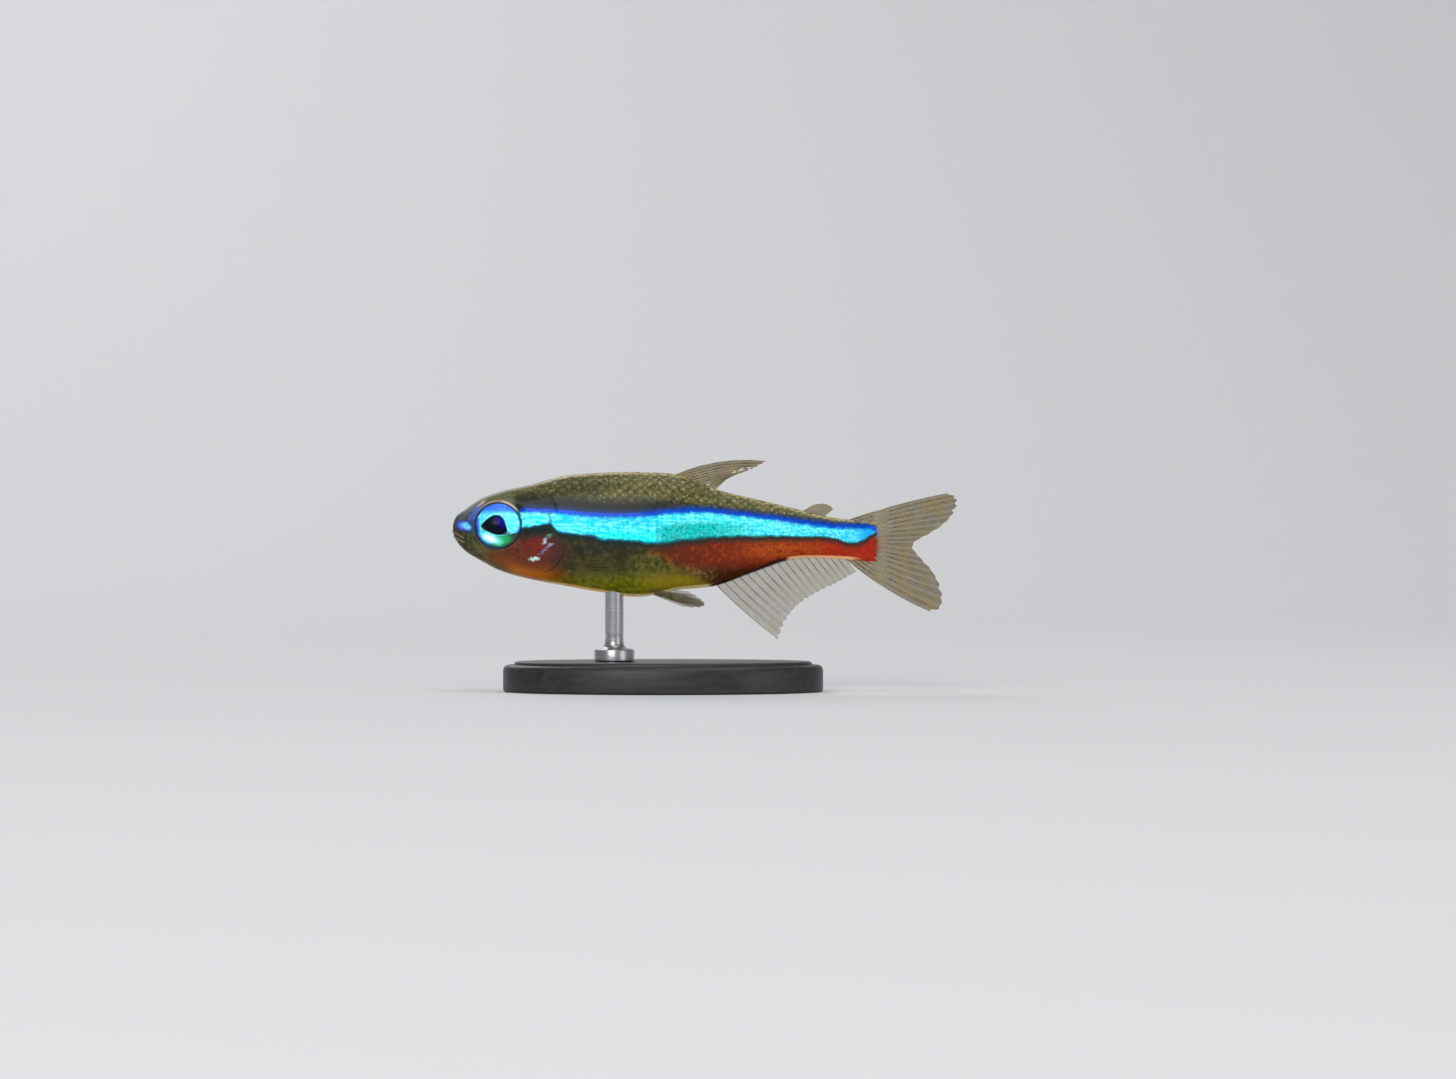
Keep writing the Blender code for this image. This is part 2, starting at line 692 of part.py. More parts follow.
def make_stand(base_material, rod_material, skin_space, parts):
    outline = [
        (
            BASE_CENTRE_X + BASE_AXES[0] * math.cos(math.tau * k / BASE_POINTS),
            BASE_AXES[1] * math.sin(math.tau * k / BASE_POINTS),
        )
        for k in range(BASE_POINTS)
    ]
    base = plate("stand_base", outline, 0, BASE_HEIGHT, parts, upright=False)
    bevel = base.modifiers.new("edge", "BEVEL")
    bevel.width = BASE_BEVEL * MM
    bevel.segments = 2
    bevel.limit_method = "ANGLE"
    bevel.angle_limit = math.radians(60)
    finish_node(base, base_material)
    foot = BASE_HEIGHT + GAP
    top = belly_height(ROD_X) + 1.0
    radius, height = ROD_FOOT
    profile = [
        (0, top), (ROD_RADIUS, top), (ROD_RADIUS, foot + height + 0.25), (ROD_RADIUS + 0.2, foot + height),
        (radius - 0.1, foot + height), (radius, foot + height - 0.1), (radius, foot), (0, foot),
    ]
    rod = turned("stand_rod", profile, 20, parts)
    apply_modifiers(rod)
    rod.data.transform(Matrix.Translation((ROD_X * MM, 0, 0)))
    boolean(rod, skin_space, "DIFFERENCE")
    finish_node(rod, rod_material)


def main():
    clear_scene()
    parts = new_collection("green_neon_tetra")
    cutters = new_collection("cutters")
    flesh = new_material("flesh", (0.17, 0.18, 0.11), 0.35)
    fin = new_material("fin", (0.45, 0.46, 0.38), 0.4)
    eye = new_material("eye", (0.10, 0.62, 0.85), 0.1)
    base = new_material("base", (0.05, 0.05, 0.055), 0.5)
    steel = new_material("steel", (0.62, 0.62, 0.64), 0.3, 1.0)
    make_head(flesh, parts, cutters)
    make_lower_jaw(flesh, parts, cutters)
    for side, word in ((-1, "left"), (1, "right")):
        make_gill_cover(side, word, flesh, parts, cutters)
        make_eye(side, word, eye, parts)
    make_trunk(flesh, parts, cutters)
    make_tail(flesh, parts, cutters)
    skin_space = hide_cutter(body_solid("skin_space", GAP, cutters))
    make_fins(fin, skin_space, parts)
    make_stand(base, steel, skin_space, parts)


main()
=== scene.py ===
"""Green neon tetra, life size: the looks of the display model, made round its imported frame.

The fish faces -X with its left side towards -Y, and Z is up. Sizes below are millimetres and are
multiplied by MM where a mesh is made.
"""

import math
import random

import bpy
import numpy as np
from mathutils import Matrix, Vector


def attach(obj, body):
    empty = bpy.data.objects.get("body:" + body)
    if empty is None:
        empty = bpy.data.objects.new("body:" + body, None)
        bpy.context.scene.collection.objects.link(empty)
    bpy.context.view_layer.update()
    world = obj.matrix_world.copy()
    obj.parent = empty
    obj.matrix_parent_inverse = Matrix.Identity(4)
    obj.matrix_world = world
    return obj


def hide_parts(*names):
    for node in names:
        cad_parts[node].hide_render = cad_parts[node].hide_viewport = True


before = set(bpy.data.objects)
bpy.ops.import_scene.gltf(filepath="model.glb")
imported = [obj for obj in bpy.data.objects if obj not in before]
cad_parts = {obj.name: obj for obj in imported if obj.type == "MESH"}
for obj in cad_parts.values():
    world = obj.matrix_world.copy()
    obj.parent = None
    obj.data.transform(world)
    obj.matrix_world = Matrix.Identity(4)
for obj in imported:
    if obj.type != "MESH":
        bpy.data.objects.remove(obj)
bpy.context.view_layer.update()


# Camera
# The photograph is a level view of the fish's left side from some way off. A long lens at the fish's
# own height gives the same view, and the photograph's scale at the fish gives the distance.
MM = 0.001
PHOTO_SIZE = (1456, 1079)  # pixels
PIXEL = 0.05935  # one pixel of the photograph at the fish
ORIGIN_PIXEL = (705.25, 540.0)  # where the photograph shows the point above the origin at SWIM_HEIGHT
SWIM_HEIGHT = 9.0
LENS = 100.0
SENSOR_WIDTH = 36.0


def deselect():
    bpy.ops.object.select_all(action="DESELECT")


view_middle = (
    (PHOTO_SIZE[0] / 2 - ORIGIN_PIXEL[0]) * PIXEL,
    SWIM_HEIGHT + (ORIGIN_PIXEL[1] - PHOTO_SIZE[1] / 2) * PIXEL,
)
camera_distance = PHOTO_SIZE[0] * PIXEL * LENS / SENSOR_WIDTH
deselect()
bpy.ops.object.camera_add(
    location=(view_middle[0] * MM, -camera_distance * MM, view_middle[1] * MM), rotation=(math.pi / 2, 0, 0)
)
camera = bpy.context.object
camera.data.lens = LENS
camera.data.sensor_width = SENSOR_WIDTH
camera.data.clip_start = 0.01
camera.data.clip_end = 10
bpy.context.scene.camera = camera


# Studio
# A pale paper sweep runs under the stand and curves up behind it. Large soft lamps stand in front,
# above and behind, and the walls of the room give the rest of the light.
SWEEP_HALF = 900.0
WALL_Y = 420.0
WALL_HEIGHT = 1100.0
SWEEP_RADIUS = 240.0
PAPER = (0.78, 0.79, 0.80, 1.0)
# Name, place, width of the lamp and its power in watts. Each lamp looks at the fish.
LAMPS = (
    ("front_lamp", (-120, -420, 230), 260, 0.92),
    ("top_lamp", (60, -60, 460), 320, 0.58),
    ("fill_lamp", (380, -300, 120), 240, 0.26),
    ("back_lamp", (-160, 330, 300), 220, 0.38),
)
ROOM_LIGHT = 0.32


def named(name):
    """Names the object that an operator has just made, and gives it back."""
    made = bpy.context.object
    made.name = name
    made.data.name = name
    return made


def plain_material(name, colour, roughness):
    material = bpy.data.materials.new(name)
    material.use_nodes = True
    shader = material.node_tree.nodes["Principled BSDF"]
    shader.inputs["Base Color"].default_value = colour
    shader.inputs["Roughness"].default_value = roughness
    return material


deselect()
bpy.ops.mesh.primitive_plane_add(size=2 * SWEEP_HALF * MM, location=(0, (WALL_Y - SWEEP_HALF) * MM, 0))
sweep = named("paper_sweep")
bpy.ops.object.transform_apply(location=True, rotation=True, scale=True)
bpy.ops.object.mode_set(mode="EDIT")
bpy.ops.mesh.select_all(action="DESELECT")
bpy.ops.object.mode_set(mode="OBJECT")
for edge in sweep.data.edges:
    edge.select = all(sweep.data.vertices[k].co.y > (WALL_Y - 1) * MM for k in edge.vertices)
bpy.ops.object.mode_set(mode="EDIT")
bpy.ops.mesh.select_mode(type="EDGE")
bpy.ops.mesh.extrude_region_move(TRANSFORM_OT_translate={"value": (0, 0, WALL_HEIGHT * MM)})
bpy.ops.object.mode_set(mode="OBJECT")
for edge in sweep.data.edges:
    ends = [sweep.data.vertices[k].co for k in edge.vertices]
    edge.select = all(end.y > (WALL_Y - 1) * MM and end.z < MM for end in ends)
bpy.ops.object.mode_set(mode="EDIT")
bpy.ops.mesh.bevel(offset=SWEEP_RADIUS * MM, segments=24, affect="EDGES")
bpy.ops.object.mode_set(mode="OBJECT")
bpy.ops.object.shade_smooth()
sweep.data.materials.append(plain_material("paper", PAPER, 0.9))

fish_middle = Vector((0, 0, SWIM_HEIGHT)) * MM
for lamp_name, place, width, power in LAMPS:
    place = Vector(place) * MM
    turn = (fish_middle - place).to_track_quat("-Z", "Y").to_euler()
    bpy.ops.object.light_add(type="AREA", location=place, rotation=turn)
    lamp = named(lamp_name)
    lamp.data.size = width * MM
    lamp.data.energy = power
    lamp.visible_camera = False

world = bpy.data.worlds.new("room")
world.use_nodes = True
world.node_tree.nodes["Background"].inputs["Color"].default_value = (0.86, 0.88, 0.90, 1.0)
world.node_tree.nodes["Background"].inputs["Strength"].default_value = ROOM_LIGHT
bpy.context.scene.world = world
bpy.context.scene.view_settings.view_transform = "Standard"


# Skin
# One unbroken skin covers the head, trunk and tail. It is drawn from a ball whose rings are set to the
# body's stations, and the orbit, lips, mouth, nostrils and the free edge of each gill cover are raised
# and sunk in it. Behind the head it lies under the scales.
# Stations from the snout to the tail fin: distance along X, height of the back, height of the belly,
# half width, and squareness of the section, where 2 is an ellipse.
STATIONS = (
    (-14.98, 9.72, 9.72, 0.00, 2.00),
    (-14.78, 10.38, 8.98, 0.46, 2.00),
    (-14.20, 10.84, 8.32, 0.80, 2.10),
    (-13.25, 11.47, 7.74, 1.10, 2.50),
    (-12.05, 11.90, 7.14, 1.36, 2.80),
    (-10.40, 12.26, 6.68, 1.54, 2.50),
    (-8.40, 12.80, 6.30, 1.65, 2.25),
    (-6.20, 12.99, 5.91, 1.70, 2.15),
    (-3.90, 13.03, 5.63, 1.68, 2.10),
    (-1.60, 12.86, 6.04, 1.50, 2.10),
    (0.60, 12.02, 6.28, 1.26, 2.00),
    (2.90, 11.45, 7.10, 1.02, 2.00),
    (5.20, 10.90, 7.86, 0.80, 2.00),
    (7.40, 10.36, 7.90, 0.60, 2.00),
    (9.90, 10.08, 7.70, 0.42, 2.00),
)
WIDEST_SHARE = 0.52  # height of the widest line, as a share of the body's depth
TAIL_THINNING = (8.4, 9.9, 0.72)  # from X to X the flesh thins by this share, towards the tail fin
SKIN_SIDES = 256
RING_AT_STATION = ((0, 0), (14, 1), (26, 2), (46, 3), (70, 4), (103, 5), (143, 6), (272, 14))
SCALE_DEPTH = 0.05  # from the skin to the outer faces of the scales
PAINT_GLOW = 0.28  # light given off by the stripe and the iris, as strength of emission
LACQUER = 0.14  # weight of the clear coat over skin and scales

EYE_CENTRE = (-12.24, 9.84)  # along X and Z
EYE_SEAT = 1.20  # from the middle plane to the plane of the orbit's rim
EYE_SLOPE = (0.13, -0.10)  # how that plane leans away per millimetre along X and Z
ORBIT_FLAT = (1.30, 2.05)  # the skin is level with the rim inside the first radius, free past the second
ORBIT_RIM = (1.47, 0.09, 0.025)  # radius, half width and height of the raised rim
ORBIT_DIP = (1.40, 1.10, 0.36)  # the skin sinks from the first radius to the second, by this much
MOUTH_FRONT = (-14.90, 9.34)
MOUTH_CORNER = (-14.28, 8.98)
MOUTH_SLOPE = (MOUTH_CORNER[1] - MOUTH_FRONT[1]) / (MOUTH_CORNER[0] - MOUTH_FRONT[0])
JAW_FOLD = (MOUTH_CORNER, (-13.60, 8.42), (-13.05, 7.90), (-12.85, 6.60))
MOUTH_SLIT = (0.032, 0.11)  # half width and depth
LIP = (0.12, 0.065, 0.06)  # from the slit to the top of the lip, half width and height
JAW_FOLD_SIZE = (0.05, 0.03)
NOSTRILS = ((-14.10, 10.40, 0.075), (-13.93, 10.58, 0.085))  # along X and Z, and radius
NOSTRIL_DEPTH = 0.14
NOSTRIL_RIM = 0.03
COVER_CENTRE = (-9.32, 8.72)
COVER_AXES = (1.08, 1.60)
COVER_LEAN = 0.16  # how far the gill cover leans forward, per millimetre down
COVER_RISE = 0.055  # height of the cover's free edge over the skin behind it
COVER_GROOVE = (0.09, 0.045, 0.05)  # from the edge to the groove, half width and depth
CHEEK_BONE = ((-10.42, 9.66), (-10.58, 9.05), (-10.52, 8.35), (-10.22, 7.78), (-9.70, 7.36))
CHEEK_BONE_SIZE = (0.06, 0.06)  # half width and height of the ridge
EYE_BONES = ((-13.62, 8.86), (-13.05, 8.22), (-12.20, 7.96), (-11.35, 8.10), (-10.72, 8.62), (-10.62, 9.20))
EYE_BONES_SIZE = (0.04, 0.04)  # half width and depth of the groove round the bones under the eye
# The scales start on this line above and below the gill cover.
HEAD_END = ((-9.95, 6.60), (-8.80, 10.50), (-9.25, 11.60), (-10.00, 12.50))

STRIPE_TOP = (
    (-11.20, 10.90), (-9.80, 10.88), (-8.62, 10.81), (-6.25, 10.63), (-5.06, 10.60), (-3.87, 10.63),
    (-2.69, 10.76), (-1.50, 10.87), (-0.31, 10.89), (0.88, 10.81), (2.06, 10.67), (3.25, 10.53),
    (4.44, 10.38), (5.62, 10.22), (6.81, 10.07), (8.00, 9.95), (8.90, 9.95), (9.55, 9.95), (10.20, 9.55),
)
STRIPE_BOTTOM = (
    (-11.20, 9.62), (-10.40, 9.71), (-9.81, 9.80), (-9.27, 9.90), (-8.92, 9.70), (-8.44, 9.37),
    (-7.73, 9.30), (-6.54, 9.15), (-6.01, 8.95), (-5.06, 8.93), (-3.87, 8.83), (-2.98, 8.74),
    (-1.50, 8.91), (-0.31, 9.03), (0.88, 9.12), (3.00, 9.16), (6.81, 9.15), (8.00, 9.00), (8.71, 8.79),
    (9.19, 8.88), (9.78, 9.24), (10.20, 9.55),
)
STRIPE_ENDS = (-10.92, 10.14)
STRIPE_GAPS = ((-10.94, 0.12, 0.9), (-9.18, 0.13, 0.6), (-2.86, 0.10, 0.25))  # X, half width, darkness
SNOUT_SPOT = (-14.26, 9.85)
# Painted glints on the gill cover's silver: place, half length, half width, slant in degrees, and screen
# colour.
CHEEK_GLINTS = (
    ((-9.46, 8.93), 0.18, 0.10, 62, (176, 198, 212)), ((-9.20, 9.26), 0.17, 0.10, 20, (86, 138, 120)),
    ((-9.12, 8.70), 0.20, 0.09, 30, (144, 148, 174)), ((-9.46, 8.40), 0.26, 0.09, 38, (120, 114, 150)),
    ((-10.07, 7.90), 0.28, 0.11, 5, (206, 246, 238)), ((-9.76, 8.18), 0.14, 0.06, 40, (110, 96, 120)),
)
BACK_LINE = tuple((x, back) for x, back, *_ in STATIONS)
BELLY_LINE = tuple((x, belly) for x, _, belly, *_ in STATIONS)


def smooth_curve(values, t):
    """A smooth curve through evenly numbered values, read at t, with straight run-out at both ends."""
    last = len(values) - 1
    k = min(int(t), last - 1)
    u = t - k
    b, c = values[k], values[k + 1]
    a = values[k - 1] if k > 0 else 2 * b - c
    d = values[k + 2] if k + 2 <= last else 2 * c - b
    return b + 0.5 * u * (c - a + u * (2 * a - 5 * b + 4 * c - d + u * (3 * (b - c) + d - a)))


def smooth_step(low, high, value):
    u = np.clip((value - low) / (high - low), 0.0, 1.0)
    return u * u * (3 - 2 * u)


def bell(value, middle, half_width):
    return np.exp(-(((value - middle) / half_width) ** 2))


def station_at(t):
    """Position, back, belly, half width and squareness of the body at station number t."""
    columns = [list(column) for column in zip(*STATIONS)]
    if t < 1:
        # The snout is round: past its tip the section would come back turned over.
        x, back, belly, width, square = columns
        mirrored = (x[1], belly[1], back[1], -width[1], square[1])
        columns = [[first, *column] for first, column in zip(mirrored, columns)]
        t += 1
    return [smooth_curve(column, t) for column in columns]


def station_number(x):
    """The station number at which the body is at distance x."""
    low, high = 0.0, len(STATIONS) - 1.0
    while high - low > 1e-6:
        middle = (low + high) / 2
        if station_at(middle)[0] < x:
            low = middle
        else:
            high = middle
    return low


def sections(numbers, angles):
    """Points of the plain body, one section per station number and one point per angle round it."""
    x, back, belly, width, square = (np.array(row)[:, None] for row in zip(*map(station_at, numbers)))
    start, end, share = TAIL_THINNING
    width = width * (1 - share * smooth_step(start, end, x))
    widest = belly + WIDEST_SHARE * (back - belly)
    across, up = (np.sign(way) * np.abs(way) ** (2 / square) for way in (np.cos(angles), np.sin(angles)))
    z = widest + up * np.where(up > 0, back - widest, widest - belly)
    y = np.abs(across) * width
    x = np.broadcast_to(x, y.shape)
    free = smooth_step(*ORBIT_FLAT, np.hypot(x - EYE_CENTRE[0], z - EYE_CENTRE[1]))
    rim = EYE_SEAT + EYE_SLOPE[0] * (x - EYE_CENTRE[0]) + EYE_SLOPE[1] * (z - EYE_CENTRE[1])
    y = np.where(np.abs(across) > 1e-6, y * free + rim * (1 - free), y)
    return np.stack([x, np.sign(across) * y, z], axis=-1)


def normals_of(points):
    """The outward direction at each point of a set of sections."""
    along = np.gradient(points, axis=0)
    closed = np.concatenate([points[:, -1:], points, points[:, :1]], axis=1)
    around = (closed[:, 2:] - closed[:, :-2]) / 2
    out = np.cross(around, along)
    return out / np.maximum(np.linalg.norm(out, axis=-1, keepdims=True), 1e-9)


def distance_to_line(x, z, line):
    """How far each point of the side view is from a line through the given points."""
    nearest = np.full(x.shape, np.inf)
    for (ax, az), (bx, bz) in zip(line, line[1:]):
        length = (bx - ax) ** 2 + (bz - az) ** 2
        share = np.clip(((x - ax) * (bx - ax) + (z - az) * (bz - az)) / length, 0, 1)
        nearest = np.minimum(nearest, np.hypot(x - ax - share * (bx - ax), z - az - share * (bz - az)))
    return nearest


def beyond_cover(x, z):
    """Distance outside the gill cover's oval edge in the side view, negative inside it."""
    up = z - COVER_CENTRE[1]
    back = x - COVER_CENTRE[0] - COVER_LEAN * up
    return (np.hypot(back / COVER_AXES[0], up / COVER_AXES[1]) - 1) * COVER_AXES[0]


def head_end(z):
    """Where the head's skin ends and the scales start, at height z, above and below the gill cover."""
    end_x, end_z = zip(*HEAD_END)
    return np.interp(z, end_z, end_x)


def on_head(x, z):
    """1 on the bare skin of the head and 0 on the scaled body."""
    return 1 - smooth_step(0.0, 0.10, beyond_cover(x, z)) * smooth_step(-0.1, 0.6, x - head_end(z))


def head_relief(x, z):
    """Height of the head's forms over the plain body."""
    from_eye = np.hypot(x - EYE_CENTRE[0], z - EYE_CENTRE[1])
    rim_radius, rim_half, rim_height = ORBIT_RIM
    height = rim_height * bell(from_eye, rim_radius, rim_half)
    height -= ORBIT_DIP[2] * (1 - smooth_step(ORBIT_DIP[1], ORBIT_DIP[0], from_eye))
    from_slit = z - MOUTH_FRONT[1] - MOUTH_SLOPE * (x - MOUTH_FRONT[0])
    in_mouth = 1 - smooth_step(MOUTH_CORNER[0] - 0.08, MOUTH_CORNER[0] + 0.10, x)
    height -= in_mouth * MOUTH_SLIT[1] * bell(from_slit, 0, MOUTH_SLIT[0])
    height += in_mouth * LIP[2] * bell(np.abs(from_slit), LIP[0], LIP[1])
    height -= JAW_FOLD_SIZE[1] * bell(distance_to_line(x, z, JAW_FOLD), 0, JAW_FOLD_SIZE[0])
    for pit_x, pit_z, radius in NOSTRILS:
        from_pit = np.hypot(x - pit_x, z - pit_z)
        height += NOSTRIL_RIM * bell(from_pit, radius * 1.5, radius * 0.5)
        height -= NOSTRIL_DEPTH * bell(from_pit, 0, radius)
    beyond = beyond_cover(x, z)
    behind = smooth_step(-0.4, 0.3, (x - COVER_CENTRE[0]) / COVER_AXES[0])
    lift = smooth_step(-1.0, 0.0, beyond) * (1 - smooth_step(0.0, 0.07, beyond))
    groove_at, groove_half, groove_depth = COVER_GROOVE
    height += behind * (COVER_RISE * lift - groove_depth * bell(beyond, groove_at, groove_half))
    height += CHEEK_BONE_SIZE[1] * bell(distance_to_line(x, z, CHEEK_BONE), 0, CHEEK_BONE_SIZE[0])
    return height - EYE_BONES_SIZE[1] * bell(distance_to_line(x, z, EYE_BONES), 0, EYE_BONES_SIZE[0])


def turn_faces_out(merge=None):
    """Turns the faces of the object in hand outwards, with points closer than merge joined first."""
    bpy.ops.object.mode_set(mode="EDIT")
    bpy.ops.mesh.select_all(action="SELECT")
    if merge:
        bpy.ops.mesh.remove_doubles(threshold=merge)
    bpy.ops.mesh.normals_make_consistent(inside=False)
    bpy.ops.object.mode_set(mode="OBJECT")


def set_points(obj, points):
    """Moves an object's points to places given in millimetres."""
    obj.data.vertices.foreach_set("co", (points * MM).astype(np.float32).ravel())
    obj.data.update()


skin_rings = RING_AT_STATION[-1][0]
deselect()
bpy.ops.mesh.primitive_uv_sphere_add(segments=SKIN_SIDES, ring_count=skin_rings, radius=1)
skin = named("skin")
ball = np.empty(len(skin.data.vertices) * 3)
skin.data.vertices.foreach_get("co", ball)
ball = ball.reshape(-1, 3)
ring_of = np.rint(np.arccos(np.clip(ball[:, 2], -1, 1)) / math.pi * skin_rings).astype(int)
side_of = np.rint(np.arctan2(ball[:, 1], ball[:, 0]) / math.tau * SKIN_SIDES).astype(int) % SKIN_SIDES
ring_numbers = np.interp(range(skin_rings + 1), *zip(*RING_AT_STATION))
side_angles = np.arange(SKIN_SIDES) * math.tau / SKIN_SIDES
loft = sections(ring_numbers, side_angles)
outward = normals_of(loft)
outward[0] = (-1, 0, 0)
outward[-1] = (1, 0, 0)
relief = head_relief(loft[..., 0], loft[..., 2]) - SCALE_DEPTH * (1 - on_head(loft[..., 0], loft[..., 2]))
relief *= smooth_step(0.0, 0.12, np.abs(loft[..., 1])) * 0.999 + 0.001
loft = loft + outward * relief[..., None]
loft[0] = loft[0].mean(axis=0)
loft[-1] = loft[-1].mean(axis=0)
set_points(skin, loft[ring_of, side_of])
turn_faces_out()
bpy.ops.object.shade_smooth()


class Wiring:
    """Adds nodes to one tree. Its methods take numbers or sockets and give back the new node's output."""

    def __init__(self, tree):
        self.tree = tree

    def join(self, value, socket):
        if isinstance(value, bpy.types.NodeSocket):
            self.tree.links.new(value, socket)
        elif value is not None:
            socket.default_value = value

    def node(self, kind, *values, output=0, **settings):
        made = self.tree.nodes.new("ShaderNode" + kind)
        for setting, value in settings.items():
            setattr(made, setting, value)
        for socket, value in zip(made.inputs, values):
            self.join(value, socket)
        return made.outputs[output]

    def maths(self, operation, *values):
        return self.node("Math", *values, operation=operation)

    def less(self, value, taken):
        return self.maths("SUBTRACT", value, taken)

    def sloped(self, value, slope, start):
        """A straight line of the value: start, and slope more for each unit."""
        return self.maths("MULTIPLY_ADD", value, slope, start)

    def most(self, *values):
        """The largest of several values."""
        largest, *others = values
        for value in others:
            largest = self.maths("MAXIMUM", largest, value)
        return largest

    def here(self, unit=1.0):
        """The place on the piece in metres, times unit."""
        place = self.node("TexCoord", output=3)
        return place if unit == 1.0 else self.scaled(place, unit)

    def rise(self, value, low, high):
        """0 up to low and 1 from high on, with a soft turn between. It falls where low is over high."""
        return self.node("MapRange", value, low, high, 0.0, 1.0, interpolation_type="SMOOTHSTEP")

    def both(self, *shares):
        """The product of several shares. Each is a number, a socket, or a range: value, low and high."""
        product, *others = (self.rise(*share) if isinstance(share, tuple) else share for share in shares)
        for share in others:
            product = self.maths("MULTIPLY", product, share)
        return product

    def paint(self, share, under, over):
        """One colour laid over another."""
        made = self.tree.nodes.new("ShaderNodeMix")
        made.data_type = "RGBA"
        for value, place in ((share, 0), (under, 6), (over, 7)):
            self.join(value, made.inputs[place])
        return made.outputs[2]

    def lay(self, under, shade, *shares):
        """A colour laid over another by the product of the shares. Each is a socket or a screen tone."""
        under, shade = (tone(*colour) if isinstance(colour, tuple) else colour for colour in (under, shade))
        return self.paint(self.both(*shares), under, shade)

    def fit(self, node, values):
        """Joins values to a node's named sockets, or sets them."""
        for name, value in values.items():
            self.join(value, node.inputs[name])

    def line(self, points, value):
        """A smooth line through points, read at value."""
        (low_in, high_in), (low_out, high_out) = ((min(row), max(row)) for row in zip(*points))
        share = self.node("MapRange", value, low_in, high_in, 0.0, 1.0)
        made = self.tree.nodes.new("ShaderNodeFloatCurve")
        track = made.mapping.curves[0]
        wide, high = high_in - low_in, high_out - low_out
        places = [((a - low_in) / wide, (b - low_out) / high) for a, b in points]
        for k, place in enumerate((places[0], places[-1])):
            track.points[k].location = place
        for place in places[1:-1]:
            track.points.new(*place)
        made.mapping.update()
        self.tree.links.new(share, made.inputs["Value"])
        return self.node("MapRange", made.outputs[0], 0.0, 1.0, low_out, high_out)

    def noise(self, place, scale, detail=2.0, output=0):
        return self.node("TexNoise", place, None, scale, detail, output=output)

    def parts(self, vector):
        """The X, Y and Z of a vector."""
        made = self.tree.nodes.new("ShaderNodeSeparateXYZ")
        self.join(vector, made.inputs[0])
        return made.outputs

    def scaled(self, vector, factor):
        return self.node("VectorMath", vector, None, None, factor, operation="SCALE")

    def stretched(self, vector, factors):
        return self.node("VectorMath", vector, factors, operation="MULTIPLY")

    def distance(self, place, middle):
        return self.node("VectorMath", place, middle, operation="DISTANCE", output=1)

    def wavered(self, place, scale, detail, reach):
        """A place shifted at random, by up to about half of reach."""
        random_place = self.noise(place, scale, detail, output=1)
        shift = self.node("VectorMath", random_place, (0.5, 0.5, 0.5), operation="SUBTRACT")
        return self.node("VectorMath", place, self.scaled(shift, reach), operation="ADD")

    def bump(self, height, depth, strength):
        """The surface's direction with fine relief of this depth in millimetres."""
        made = self.tree.nodes.new("ShaderNodeBump")
        self.fit(made, {"Strength": strength, "Distance": depth * MM, "Height": height})
        return made.outputs[0]

    def spot(self, place, middle, half_length, half_width, slant=0.0, softness=0.25):
        """An oval of the side view: 1 inside it and 0 outside."""
        made = self.tree.nodes.new("ShaderNodeMapping")
        made.vector_type = "TEXTURE"
        self.fit(made, {
            "Vector": place, "Location": (middle[0], 0, middle[1]),
            "Rotation": (0, -math.radians(slant), 0), "Scale": (half_length, 1, half_width),
        })
        far = self.node("VectorMath", made.outputs[0], operation="LENGTH", output=1)
        return self.rise(far, 1 + softness, 1 - softness)

    def grouped(self, group, place):
        """The outputs of a node group that is read at a place."""
        made = self.tree.nodes.new("ShaderNodeGroup")
        made.node_tree = group
        self.join(place, made.inputs["Place"])
        return made.outputs


def tone(red, green, blue):
    """A paint colour from its screen values, 0 to 255."""
    return (*((value / 255) ** 2.2 for value in (red, green, blue)), 1.0)


def new_group(name, inputs, outputs):
    """An empty node group with named inputs and outputs, its wiring, and its two end nodes."""
    group = bpy.data.node_groups.new(name, "ShaderNodeTree")
    for socket_name, kind in inputs:
        group.interface.new_socket(socket_name, in_out="INPUT", socket_type="NodeSocket" + kind)
    for socket_name, kind in outputs:
        group.interface.new_socket(socket_name, in_out="OUTPUT", socket_type="NodeSocket" + kind)
    return group, Wiring(group), group.nodes.new("NodeGroupInput"), group.nodes.new("NodeGroupOutput")


